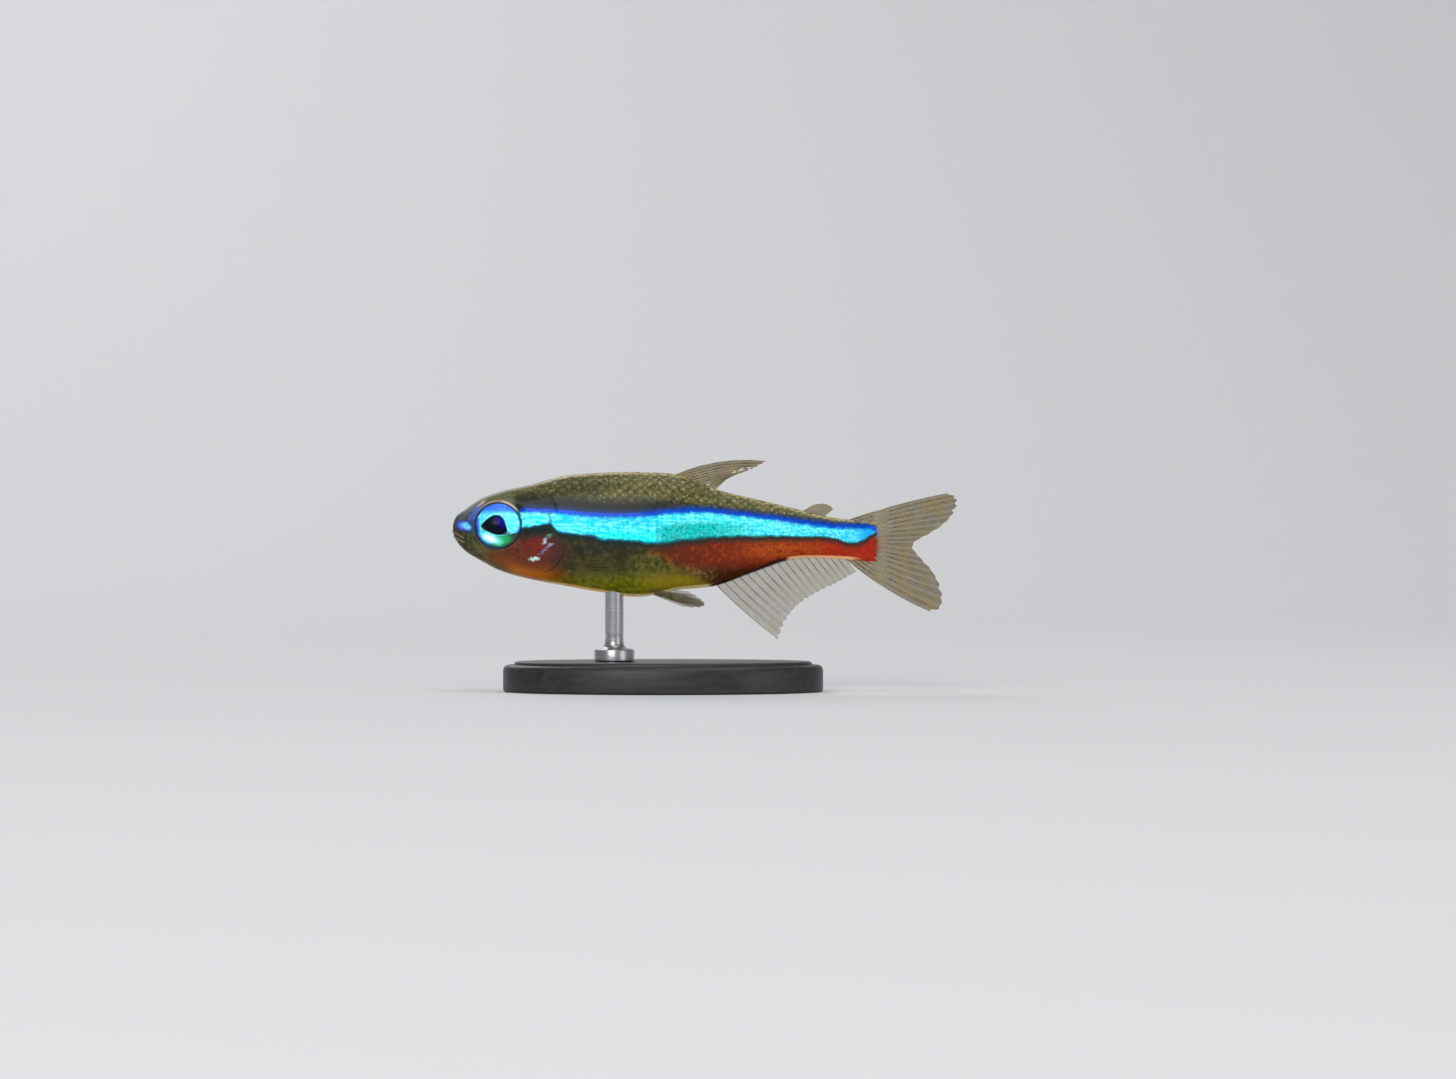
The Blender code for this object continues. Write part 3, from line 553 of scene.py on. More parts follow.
def build_fish_colours():
    """The markings of skin and scales, painted by place on the fish."""
    group, w, given, result = new_group(
        "fish_colours", [("Place", "Vector")],
        [("Colour", "Color"), ("Glow", "Float"), ("Back", "Float")],
    )
    place = w.scaled(given.outputs["Place"], 1000.0)
    x, _, z = w.parts(w.wavered(place, 2.6, 3.0, 0.22))
    true_x, _, true_z = w.parts(place)
    side = w.node("CombineXYZ", x, 0.0, z)
    true_side = w.node("CombineXYZ", true_x, 0.0, true_z)
    cloud = w.noise(place, 0.9, 3.0)
    mottle = w.noise(place, 3.4, 4.0)
    grain = w.noise(place, 11.0, 2.0)
    over_stripe = w.less(z, w.line(STRIPE_TOP, x))
    over_bottom = w.less(z, w.line(STRIPE_BOTTOM, x))
    over_keel = w.less(true_z, w.line(BELLY_LINE, true_x))
    from_eye = w.distance(true_side, (EYE_CENTRE[0], 0, EYE_CENTRE[1]))

    # Flank and belly, from the stripe down
    colour = w.lay((47, 46, 32), (50, 56, 18), (z, 8.6, 7.3))
    colour = w.lay(colour, (72, 72, 44), (mottle, 0.42, 0.68))
    belly = w.lay((96, 102, 6), (136, 136, 30), (mottle, 0.35, 0.68))
    belly = w.lay(belly, (160, 140, 34), (x, -4.6, -2.2))
    colour = w.lay(colour, belly, (z, 7.35, 6.55))
    yellowish = w.both(w.spot(side, (-2.6, 7.5), 1.7, 1.0, 0, 0.6), (mottle, 0.26, 0.68))
    colour = w.lay(colour, (128, 118, 46), yellowish, 0.7)
    # Red band
    red = w.lay((98, 46, 16), (130, 44, 6), (x, -3.0, 1.6))
    red = w.lay(red, (186, 42, 2), (x, 3.6, 7.4))
    orange = w.both(w.spot(side, (4.5, 8.4), 2.3, 0.55, 0, 0.7), (mottle, 0.28, 0.54))
    red = w.lay(red, (204, 90, 18), orange, 0.8)
    red = w.lay(red, (206, 74, 24), (mottle, 0.50, 0.70), 0.5)
    red = w.lay(red, (82, 22, 8), (grain, 0.52, 0.38), 0.4)
    brown = w.lay((110, 84, 46), (56, 34, 18), (x, -1.0, 0.8))
    brown = w.lay(brown, (140, 120, 66), (mottle, 0.48, 0.64), (x, 1.4, -0.6))
    red = w.lay(red, brown, (z, 7.75, 7.05), (x, 4.6, 3.2), 0.85)
    drop = w.sloped(x, -0.60, 6.35)
    under_line = w.rise(w.less(z, drop), -0.45, 0.55)
    colour = w.lay(colour, red, (x, -5.4, -2.4), under_line)
    # Cheek, jaw and snout
    muzzle = w.lay((48, 49, 22), (80, 79, 46), (mottle, 0.36, 0.64))
    colour = w.lay(colour, muzzle, (x, -9.2, -10.6))
    jaw = w.spot(side, (-13.25, 8.45), 0.55, 0.30, -40, 0.6)
    colour = w.lay(colour, (104, 102, 56), jaw, 0.6)
    colour = w.lay(colour, (134, 70, 24), w.spot(side, (-10.5, 7.45), 2.2, 0.62, -16, 0.5))
    throat = w.both((over_keel, 0.95, 0.30), (x, -12.0, -11.0), (x, -8.6, -9.8))
    colour = w.lay(colour, (200, 112, 24), throat, 0.75)
    fleshy = w.noise(place, 5.2, 4.0)
    blush = w.spot(side, (-10.3, 8.42), 1.95, 0.95, -8, 0.45)
    blush_tone = w.lay((80, 44, 32), (124, 50, 36), (fleshy, 0.38, 0.62))
    colour = w.lay(colour, blush_tone, blush, 0.85)
    gill = w.both(w.spot(side, (-9.9, 8.62), 0.75, 0.55, 20, 0.6), (fleshy, 0.30, 0.58))
    colour = w.lay(colour, (146, 32, 22), gill, 0.8)
    livid = w.both(w.spot(side, (-9.6, 8.75), 1.35, 0.75, 0, 0.5), (mottle, 0.55, 0.70))
    colour = w.lay(colour, (74, 62, 84), livid, 0.5)
    behind_gill = w.spot(side, (-8.75, 8.25), 0.45, 0.95, 0, 0.6)
    colour = w.lay(colour, (76, 44, 50), behind_gill, 0.5)
    # Painted shadow under the stripe, behind the eye
    shadow_under_stripe = w.both((over_bottom, -0.85, -0.28), (x, -11.3, -10.9), (x, -8.7, -9.4))
    colour = w.lay(colour, (18, 34, 34), shadow_under_stripe, 0.88)
    # Back and crown
    back = w.lay((70, 70, 36), (102, 98, 54), (mottle, 0.36, 0.60))
    back = w.lay(back, (158, 150, 112), (w.noise(place, 6.5, 1.0), 0.60, 0.72), 0.75)
    back = w.lay(back, (122, 112, 70), (cloud, 0.50, 0.66), 0.4)
    on_back = w.rise(over_stripe, -0.28, -0.14)
    nape = w.spot(side, (-7.7, 12.0), 1.9, 0.75, 10, 0.6)
    back = w.lay(back, (56, 58, 34), nape, 0.55)
    back = w.lay(back, (104, 106, 78), (x, -10.0, -12.4), 0.7)
    rearward = w.rise(x, -4.0, 0.5)
    over_band = w.maths("DIVIDE", over_stripe, w.sloped(rearward, -0.72, 1.0))
    band = w.both((over_band, 1.15, 0.35), (x, -11.6, -11.0), w.sloped(rearward, -0.45, 0.96))
    back = w.lay(back, (12, 26, 22), band)
    dots = w.node("TexVoronoi", place, None, 5.5)
    back = w.lay(back, (44, 44, 32), (dots, 0.24, 0.14), 0.55)
    colour = w.lay(colour, back, on_back)
    under_ridge = w.less(w.line(BACK_LINE, true_x), true_z)
    ridge = w.both((under_ridge, 0.24, 0.04), (x, -13.5, -7.0), (mottle, 0.30, 0.55))
    colour = w.lay(colour, (190, 172, 120), ridge, 0.8)
    # Edge of the belly: cream in front, dark where the anal fin starts, and cream again behind
    # The cream is partly painted light shining through the thin edge, and glows behind the head.
    keel_width = w.sloped(w.rise(x, -10.5, -7.5), 0.08, 0.14)
    in_keel = w.less(keel_width, over_keel)
    low_edge = w.both((in_keel, 0.0, 0.10), (x, 9.4, 8.4), (x, -14.6, -13.6))
    keel = w.lay((180, 134, 92), (238, 178, 92), (x, -10.5, -8.5))
    keel = w.lay(keel, (244, 226, 158), (x, -6.5, -3.0))
    keel = w.lay(keel, (34, 20, 12), (x, 0.1, 0.5))
    keel = w.lay(keel, (255, 196, 142), (x, 4.7, 5.1))
    keel = w.lay(keel, (128, 92, 48), (x, -10.8, -12.6))
    colour = w.lay(colour, keel, low_edge, 0.9)
    # Orbit, lips and snout spot
    slit_level = w.sloped(true_x, MOUTH_SLOPE, MOUTH_FRONT[1] - MOUTH_SLOPE * MOUTH_FRONT[0])
    off_slit = w.maths("ABSOLUTE", w.less(true_z, slit_level))
    at_mouth = w.rise(true_x, MOUTH_CORNER[0] + 0.08, MOUTH_CORNER[0] - 0.10)
    lips = w.both(at_mouth, (off_slit, 0.24, 0.12))
    colour = w.lay(colour, (146, 132, 104), lips, 0.55)
    # Painted shade in the mouth's slit
    colour = w.lay(colour, (24, 18, 14), at_mouth, (off_slit, 0.06, 0.02), 0.9)
    # Painted shade in the nostrils' pits
    for pit_x, pit_z, radius in NOSTRILS:
        pit = w.spot(true_side, (pit_x, pit_z), radius, radius, 0, 0.4)
        colour = w.lay(colour, (26, 26, 22), pit, 0.8)
    socket = w.rise(from_eye, 1.47, 1.38)
    in_stripe = w.both((z, 9.60, 9.75), (z, 10.90, 10.80), (x, -11.6, -11.3))
    rim_shade = w.lay((36, 40, 40), (0, 112, 168), in_stripe)
    colour = w.lay(colour, rim_shade, socket, 0.8)
    # Painted highlights on the orbit's upper rim: pale pink arcs, faint in front and strong towards the
    # tail, and a short bright one at the front
    brow_highlight = w.both((from_eye, 1.37, 1.42), (from_eye, 1.56, 1.46), (z, 10.55, 10.95))
    brow_highlight = w.both(brow_highlight, w.sloped(w.rise(x, -12.20, -11.80), 0.65, 0.30))
    colour = w.lay(colour, (232, 204, 188), brow_highlight)
    front_brow_highlight = w.spot(side, (-13.28, 11.12), 0.30, 0.07, 36, 0.6)
    colour = w.lay(colour, (224, 214, 206), front_brow_highlight, 0.8)
    sheen = w.spot(side, (-14.12, 10.62), 0.62, 0.26, 40, 0.6)
    colour = w.lay(colour, (118, 130, 132), sheen, 0.5)
    before_eye = w.both(
        (from_eye, 2.0, 1.6), (from_eye, 1.38, 1.44), (x, -13.0, -13.3), (z, 9.15, 9.6), (z, 11.2, 10.8)
    )
    before_tone = w.lay((14, 84, 110), (80, 112, 206), (z, 9.9, 10.35))
    colour = w.lay(colour, before_tone, before_eye, 0.75)
    colour = w.lay(colour, (58, 66, 168), w.spot(side, SNOUT_SPOT, 0.52, 0.34, -12, 0.4), 0.8)
    snout = w.both(w.spot(side, SNOUT_SPOT, 0.40, 0.22, -12, 0.5), (grain, 0.0, 0.55))
    colour = w.lay(colour, (84, 120, 236), snout)
    snout_core = w.both(w.spot(side, (-14.12, 9.84), 0.28, 0.17, -18, 0.5), (grain, 0.20, 0.50))
    colour = w.lay(colour, (118, 226, 255), snout_core)
    # Stripe
    streak = w.noise(w.stretched(place, (1.1, 1.0, 4.6)), 1.7, 4.0)
    depth = w.maths("DIVIDE", over_bottom, w.less(over_bottom, over_stripe))
    core = w.lay((32, 218, 250), (124, 255, 250), (streak, 0.42, 0.62))
    high = w.both((depth, 0.50, 0.76), (x, -9.0, -8.0), (x, -2.4, -3.4))
    core = w.lay(core, (8, 178, 244), high, 0.55)
    low = w.both((depth, 0.52, 0.22), (x, -7.4, -5.4), (x, -2.6, -3.0))
    core = w.lay(core, (0, 248, 232), low, 0.75)
    teal = w.lay((0, 120, 118), (14, 204, 190), (grain, 0.40, 0.58))
    lower = w.both((depth, 0.66, 0.42), (x, -3.1, -2.3), (x, 4.2, 0.2))
    core = w.lay(core, teal, lower, 0.85)
    rear = w.both((x, 3.2, 7.0), (grain, 0.46, 0.60))
    core = w.lay(core, (36, 150, 238), rear, 0.7)
    bead_noise = w.noise(w.stretched(place, (4.4, 1.0, 9.5)), 1.0, 2.0)
    beads = w.both((bead_noise, 0.47, 0.62), (x, -3.2, -2.0), 0.8)
    core = w.lay(core, w.lay((112, 255, 250), (30, 218, 206), lower), beads)
    core = w.lay(core, (34, 172, 252), (x, 8.4, 9.6))
    under_top = w.less(w.maths("MULTIPLY", grain, 0.24), over_stripe)
    core = w.lay(core, (0, 68, 186), (under_top, 0.56, 0.28))
    core = w.lay(core, (0, 40, 140), (under_top, 0.24, 0.08))
    under_edge = w.lay((0, 68, 112), (0, 80, 70), (x, -4.0, -2.0))
    core = w.lay(core, under_edge, (depth, 0.12, 0.03), 0.9)
    torn_x, _, _ = w.parts(w.wavered(place, 1.9, 4.0, 0.62))
    for gap_x, half, strength in STRIPE_GAPS:
        gap = w.rise(w.maths("ABSOLUTE", w.less(torn_x, gap_x)), half, half * 0.2)
        core = w.lay(core, (0, 70, 124), gap, strength)
    front, rear_end = STRIPE_ENDS
    shadow = w.both((over_bottom, -0.46, -0.03), (over_bottom, 0.3, 0.0), (x, front, front + 0.3))
    colour = w.lay(colour, (12, 46, 42), shadow, 0.88)
    beside_stripe = w.both((x, front, front + 0.3), (x, rear_end, rear_end - 1.2))
    halo = w.both((over_stripe, 0.30, 0.0), (over_stripe, -0.3, -0.1), beside_stripe)
    colour = w.lay(colour, (10, 64, 124), halo, 0.7)
    stripe = w.both(
        (depth, -0.03, 0.04), (depth, 1.04, 0.96), (from_eye, 1.40, 1.46),
        (x, front - 0.08, front), (x, rear_end + 0.06, rear_end - 0.02),
    )
    colour = w.lay(colour, core, stripe)
    # Glow, and painted glints on the gill cover's silver, which glow too
    keel_glow = w.both(low_edge, (x, -10.0, -6.5))
    glow = w.most(stripe, w.both(snout, 0.8), w.both(keel_glow, 0.5))
    ragged = w.wavered(true_side, 5.0, 1.0, 0.34)
    for middle, half_length, half_width, slant, shade in CHEEK_GLINTS:
        glint = w.spot(ragged, middle, half_length, half_width, slant, 0.55)
        colour = w.lay(colour, shade, glint)
        glow = w.most(glow, w.both(glint, 0.5))
    dotted = w.both(on_back, w.less(1.0, band))
    w.fit(result, {"Colour": colour, "Glow": glow, "Back": dotted})
    return group


fish_colours = build_fish_colours()


def coated_material(name, glow, gloss):
    """A painted and lacquered finish. Gives back the material, its wiring and its shader."""
    material = bpy.data.materials.new(name)
    material.use_nodes = True
    shader = material.node_tree.nodes["Principled BSDF"]
    w = Wiring(material.node_tree)
    w.fit(shader, {"Coat Weight": gloss, "Coat Roughness": 0.12, "Emission Strength": glow})
    return material, w, shader


def finish_coat(w, shader, colour, glow, roughness, normal):
    """Joins the paint of skin or scales to its shader. The stripe glows, and is smoother and metallic."""
    w.fit(shader, {
        "Base Color": colour,
        "Emission Color": w.paint(glow, (0, 0, 0, 1), colour),
        "Roughness": w.sloped(glow, -0.12, roughness),
        "Metallic": w.maths("MULTIPLY", glow, 0.25),
        "Specular IOR Level": 0.16,
        "Normal": normal,
    })


def skin_material():
    material, w, shader = coated_material("painted_skin", glow=PAINT_GLOW, gloss=LACQUER)
    place = w.here()
    colours = w.grouped(fish_colours, place)
    grain = w.bump(w.noise(place, 9000.0, 3.0), 0.02, 0.35)
    finish_coat(w, shader, colours["Colour"], colours["Glow"], 0.42, grain)
    return material


skin.data.materials.append(skin_material())
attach(skin, "root")
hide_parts("head", "lower_jaw", "gill_cover_left", "gill_cover_right", "trunk", "tail")


# Scales
# Thin round-edged plates of bone cover the trunk and tail in slanting rows, each lying over the root of
# the one behind it. They are cut from one plate, bent to the body and set row by row on the skin.
SCALE_PITCH = (0.64, 0.44)  # from one scale to the next along a row, behind the head and at the tail
ROW_PITCH = (0.60, 0.40)  # from row to row, at the same places
SCALED_X = (-10.3, 9.55)
SCALE_LENGTH = 1.55  # of its pitch
SCALE_WIDTH = 1.30  # of the pitch of the rows
SCALE_THICKNESS = 0.012
SCALE_LEAN = (0.002, 0.034)  # height over the skin at the root and at the free edge
SCALE_CROWN = 0.008
ROWS_EACH_WAY = 8
BOTH_SIDES = ((-1, "left"), (1, "right"))
MAP_STEP = (0.08, 0.04)  # grid of the skin that scales are set by: along X and round the body
MAP_REACH = 5.6  # furthest distance round the body from its widest line
BAKE_PATCH = 0.003

table_x = np.arange(SCALED_X[0] - 0.3, 9.9, MAP_STEP[0])
table_s = np.arange(-MAP_REACH, MAP_REACH + MAP_STEP[1], MAP_STEP[1])


def skin_table():
    """Points and normals of the left skin, by X and distance round it, and its reach down and up."""
    degrees = np.arange(-150, 151)
    widest, belly, back = np.searchsorted(degrees, (0, -90, 90))
    rings = sections([station_number(x) for x in table_x], np.radians(degrees))
    rings[..., 1] *= -1
    steps = np.linalg.norm(np.diff(rings, axis=1), axis=-1)
    around = np.concatenate([np.zeros((len(rings), 1)), np.cumsum(steps, axis=1)], axis=1)
    around -= around[:, [widest]]
    places = np.array([
        [np.interp(table_s, lengths, column) for column in ring.T] for lengths, ring in zip(around, rings)
    ]).transpose(0, 2, 1)
    normals = np.cross(np.gradient(places, axis=0), np.gradient(places, axis=1))
    normals /= np.maximum(np.linalg.norm(normals, axis=-1, keepdims=True), 1e-9)
    return places, normals, around[:, [belly, back]]


skin_places, skin_normals, skin_reach = skin_table()


def on_skin(x, s, lift):
    """Points at distance x along the fish and s round it, lifted off the left side's skin."""
    u = np.clip((x - table_x[0]) / MAP_STEP[0], 0, len(table_x) - 1.001)
    v = np.clip((s - table_s[0]) / MAP_STEP[1], 0, len(table_s) - 1.001)
    i, j = u.astype(int), v.astype(int)
    u, v = (u - i)[..., None], (v - j)[..., None]
    shares = ((0, 0, (1 - u) * (1 - v)), (1, 0, u * (1 - v)), (0, 1, (1 - u) * v), (1, 1, u * v))
    place, normal = (
        sum(rows[i + right, j + up] * share for right, up, share in shares)
        for rows in (skin_places, skin_normals)
    )
    place = place + normal * (lift - SCALE_DEPTH)[..., None]
    place[..., 0] += np.maximum(x - table_x[-1], 0)
    return place


def apply_modifiers(obj):
    for modifier in list(obj.modifiers):
        bpy.ops.object.modifier_apply(modifier=modifier.name)


def smooth(degrees, piece=None):
    """Shades a piece, or the one in hand, smooth where its faces meet at less than this angle."""
    if piece:
        deselect()
        piece.select_set(True)
        bpy.context.view_layer.objects.active = piece
    bpy.ops.object.shade_smooth_by_angle(angle=math.radians(degrees))


def cut_scale():
    """One scale, one unit long and two wide: a plate with a rounded root and a rounder free edge."""
    deselect()
    bpy.ops.mesh.primitive_grid_add(x_subdivisions=3, y_subdivisions=6, size=2)
    scale = named("scale_plate")
    for vertex in scale.data.vertices:
        along, across = (vertex.co.x + 1) / 2, vertex.co.y
        narrow = 1 - 0.16 * along**3
        front = 0.10 * across**2
        rear = 1 - 0.34 * across**2
        vertex.co = (front + (rear - front) * along, across * narrow, 0)
    thicken = scale.modifiers.new("thicken", "SOLIDIFY")
    thicken.thickness = 1.0
    thicken.offset = 0.0
    apply_modifiers(scale)
    return scale


scale_plate = cut_scale()
plate_points = np.array([vertex.co for vertex in scale_plate.data.vertices])
plate_faces = [tuple(polygon.vertices) for polygon in scale_plate.data.polygons]
bpy.data.objects.remove(scale_plate)


def pitch_at(pitches, x):
    return np.interp(x, (SCALED_X[0], SCALED_X[1]), pitches)


def scale_places():
    """Root, row and size of every scale on one side, from head to tail."""
    places = []
    x, column = SCALED_X[0], 0
    while x < SCALED_X[1]:
        low, high = (np.interp(x, table_x, skin_reach[:, k]) for k in (0, 1))
        for row in range(-ROWS_EACH_WAY, ROWS_EACH_WAY + 1):
            number = row + 0.5 * (column % 2)
            s = number * pitch_at(ROW_PITCH, x)
            root = on_skin(np.array([x]), np.array([s]), np.zeros(1))[0]
            if low - 0.1 < s < high + 0.1 and on_head(x + 0.35 * pitch_at(SCALE_PITCH, x), root[2]) < 0.9:
                places.append((x, number))
        x += pitch_at(SCALE_PITCH, x) / 2
        column += 1
    return places


def make_scales(name, side, seed):
    """All the scales of one side as one mesh. side is -1 on the left and 1 on the right."""
    draw = random.Random(seed)
    points, scale_uv, bake_uv, tones = [], [], [], []
    for x, number in scale_places():
        size = draw.uniform(0.95, 1.05)
        length = pitch_at(SCALE_PITCH, x) * SCALE_LENGTH * size
        half = pitch_at(ROW_PITCH, x) * SCALE_WIDTH * size / 2
        turn = math.radians(draw.uniform(-4, 4))
        along, across = plate_points[:, 0], plate_points[:, 1]
        forward = length * along * math.cos(turn) - half * across * math.sin(turn)
        sideways = length * along * math.sin(turn) + half * across * math.cos(turn)
        lift = SCALE_LEAN[0] + (SCALE_LEAN[1] - SCALE_LEAN[0]) * along * draw.uniform(0.85, 1.15)
        lift = lift + SCALE_CROWN * (1 - across**2) + SCALE_THICKNESS * plate_points[:, 2]
        at = x + forward
        placed = on_skin(at, number * pitch_at(ROW_PITCH, at) + sideways, lift)
        placed[:, 1] *= -side
        points.append(placed)
        scale_uv.append(np.stack([along, (across + 1) / 2], axis=1))
        around = number * pitch_at(ROW_PITCH, x)
        root = np.array((0.01 + (x - SCALED_X[0]) / 20.0, 0.5 + around / (2 * MAP_REACH + 1)))
        bake_uv.append(root + BAKE_PATCH * (scale_uv[-1] - 0.5))
        tones.append(draw.random())
    count = len(plate_points)
    order = 1 if side < 0 else -1
    starts = range(0, count * len(points), count)
    faces = [tuple(first + corner for corner in face[::order]) for first in starts for face in plate_faces]
    mesh = bpy.data.meshes.new(name)
    mesh.from_pydata((np.concatenate(points) * MM).tolist(), [], faces)
    corners = np.array([corner for face in faces for corner in face])
    for layer_name, places in (("Scale", scale_uv), ("OFBake", bake_uv)):
        layer = mesh.uv_layers.new(name=layer_name)
        layer.data.foreach_set("uv", np.concatenate(places)[corners].astype(np.float32).ravel())
    shade = mesh.attributes.new("scale_tone", "FLOAT", "POINT")
    shade.data.foreach_set("value", np.repeat(tones, count).astype(np.float32))
    scales = bpy.data.objects.new(name, mesh)
    bpy.context.scene.collection.objects.link(scales)
    smooth(50, scales)
    return scales


def scale_material():
    material, w, shader = coated_material("painted_scales", glow=PAINT_GLOW, gloss=LACQUER)
    colours = w.grouped(fish_colours, w.here())
    colour, glow = colours["Colour"], colours["Glow"]
    own = w.node("UVMap", uv_map="Scale")
    along, across, _ = w.parts(own)
    shade = w.node("Attribute", output=2, attribute_name="scale_tone")
    from_middle = w.maths("ABSOLUTE", w.less(across, 0.5))
    rim = w.maths("ADD", along, w.maths("MULTIPLY", w.maths("POWER", from_middle, 2.0), 0.9))
    edge = w.rise(rim, 0.80, 1.0)
    dot = w.rise(w.distance(own, (0.72, 0.5, 0.0)), 0.24, 0.08)
    plain = w.less(1.0, glow)
    dark = w.node("HueSaturation", 0.5, 1.05, 0.62, 1.0, colour)
    pale = w.node("HueSaturation", 0.5, 0.80, 1.75, 1.0, colour)
    colour = w.lay(colour, dark, edge, plain, 0.55)
    colour = w.lay(colour, pale, dot, colours["Back"], plain, 0.75)
    lit = w.node("HueSaturation", 0.5, 1.0, 1.16, 1.0, colour)
    colour = w.lay(colour, lit, shade, 0.8)
    in_stripe = w.rise(glow, 0.6, 0.9)
    colour = w.lay(colour, (0, 96, 170), edge, in_stripe, 0.35)
    rings = w.maths("SINE", w.maths("MULTIPLY", rim, 110.0))
    finish_coat(w, shader, colour, glow, 0.38, w.bump(rings, 0.002, 0.10))
    return material


scale_paint = scale_material()
for side, word in BOTH_SIDES:
    scales = make_scales("scales_" + word, side, seed=side + 5)
    scales.data.materials.append(scale_paint)
    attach(scales, "root")
    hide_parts("trunk", "tail")


# Eyes
# Each eye is a glass dome over a painted iris. The pupil is a slanted, rounded triangle, and the dark
# lens stands up through it. The eye is turned to look out of the orbit and pressed into the skin.
EYE_RADIUS = 1.36
EYE_DEPTH = 0.50
EYE_SIDES = 96
IRIS_LEVEL = (-0.02, 0.13)  # height of the iris over the orbit's plane at its rim and at the pupil
IRIS_FOLD = 1.22  # the iris is round out from here, and bends to the pupil's outline inside
PUPIL_RING = 0.62
PIT_FLOOR = -0.20
# The pupil's edge seen from the left: place along X and Z from the eye's centre.
PUPIL_EDGE = (
    (-0.98, -0.04), (-0.86, 0.16), (-0.61, 0.40), (-0.22, 0.62), (0.18, 0.56), (0.40, 0.28), (0.51, -0.04),
    (0.59, -0.34), (0.36, -0.52), (-0.10, -0.53), (-0.50, -0.39), (-0.80, -0.22),
)
PUPIL_MIDDLE = (-0.14, 0.02)
# Dark green shadows along the pupil's lower edge: place, half length, half width, slant, and colour.
PUPIL_FRINGE = (
    ((0.46, -0.46), 0.40, 0.15, -16, (2, 80, 58)), ((-0.12, -0.58), 0.34, 0.08, 0, (6, 118, 112)),
    ((-0.74, -0.28), 0.24, 0.08, -36, (8, 128, 110)),
)
LENS_RADIUS = 0.62
LENS_TOP = 0.26
CORNEA_TOP = 0.36
# The iris is foil down to this line, and below it painted shade where it turns in under the cheek.
FOIL_EDGE = ((-1.40, -0.30), (-0.45, -0.44), (0.00, -0.60), (0.35, -0.64), (0.75, -0.52), (1.40, -0.30))


def eye_matrix(side):
    """Turns a piece made round Z so that it looks out of the orbit, with its Y axis up."""
    outward = Vector((-EYE_SLOPE[0], side, -EYE_SLOPE[1])).normalized()
    forward = Vector((0, 0, 1)).cross(outward).normalized()
    up = outward.cross(forward)
    turn = Matrix((forward, up, outward)).transposed().to_4x4()
    return Matrix.Translation(Vector((EYE_CENTRE[0], side * EYE_SEAT, EYE_CENTRE[1])) * MM) @ turn


def turned(name, profile, sides, oval=(0.0, 0.0)):
    """A closed piece about Z, drawn up ring by ring by radius and height. oval widens it along X and Y."""
    deselect()
    bpy.ops.mesh.primitive_circle_add(vertices=sides, radius=MM, fill_type="NGON")
    piece = named(name)
    bpy.ops.object.mode_set(mode="EDIT")
    bpy.ops.mesh.select_all(action="SELECT")
    radius, height = profile[0]
    bpy.ops.transform.translate(value=(0, 0, height * MM))
    bpy.ops.transform.resize(value=(oval[0] + radius, oval[1] + radius, 1))
    for (radius, height), (next_radius, next_height) in zip(profile, profile[1:]):
        rise = (0, 0, (next_height - height) * MM)
        bpy.ops.mesh.extrude_region_move(TRANSFORM_OT_translate={"value": rise})
        grow = [(more + next_radius) / (more + radius) for more in oval]
        bpy.ops.transform.resize(value=(*grow, 1))
    bpy.ops.object.mode_set(mode="OBJECT")
    turn_faces_out()
    return piece


def pupil_point(angle, share, side):
    """A point in the eye's own plane, out from the pupil's middle by a share of the way to its edge."""
    closed = PUPIL_EDGE[-1:] + PUPIL_EDGE + PUPIL_EDGE[:2]
    columns = list(zip(*closed))
    fine = [[smooth_curve(column, 1 + k / 8) for column in columns] for k in range(8 * len(PUPIL_EDGE))]
    steps = [(x - PUPIL_MIDDLE[0], z - PUPIL_MIDDLE[1]) for x, z in fine]
    directions = np.array([math.atan2(z, x) for x, z in steps]) % math.tau
    order = np.argsort(directions)
    seen = math.atan2(math.sin(angle), -side * math.cos(angle)) % math.tau
    reach = np.interp(seen, directions[order], np.hypot(*zip(*steps))[order], period=math.tau) * share
    x, z = (PUPIL_MIDDLE[0] + reach * math.cos(seen), PUPIL_MIDDLE[1] + reach * math.sin(seen))
    return Vector((-side * x, z)) * MM


def make_iris(name, side):
    """The eyeball's cup and iris, open at the pupil down to a floor."""
    rim, inner = IRIS_LEVEL
    profile = [
        (0.40, -EYE_DEPTH), (1.05, -EYE_DEPTH), (EYE_RADIUS - 0.04, -0.34), (EYE_RADIUS, rim - 0.05),
        (EYE_RADIUS - 0.03, rim), (IRIS_FOLD, rim + 0.025), (1.10, rim + 0.045), (0.98, rim + 0.07),
        (0.86, rim + 0.09), (0.75, inner - 0.02), (0.66, inner), (PUPIL_RING, inner - 0.02),
        (PUPIL_RING, PIT_FLOOR), (0.30, PIT_FLOOR - 0.01),
    ]
    iris = turned(name, profile, EYE_SIDES)
    in_pit = set()
    for vertex in iris.data.vertices:
        radius = vertex.co.xy.length / MM
        if vertex.co.z < (PIT_FLOOR - 0.02) * MM or radius > IRIS_FOLD:
            continue
        if radius < PUPIL_RING + 0.01:
            in_pit.add(vertex.index)
        angle = math.atan2(vertex.co.y, vertex.co.x)
        open_share = min(max((radius - PUPIL_RING) / (IRIS_FOLD - PUPIL_RING), 0), 1)
        edge = pupil_point(angle, min(radius / PUPIL_RING, 1), side)
        vertex.co.xy = edge.lerp(Vector((math.cos(angle), math.sin(angle))) * IRIS_FOLD * MM, open_share)
    iris.data.transform(eye_matrix(side))
    iris.data.materials.append(iris_paint)
    iris.data.materials.append(lens_glass)
    for polygon in iris.data.polygons:
        polygon.material_index = int(in_pit.issuperset(polygon.vertices))
    return iris


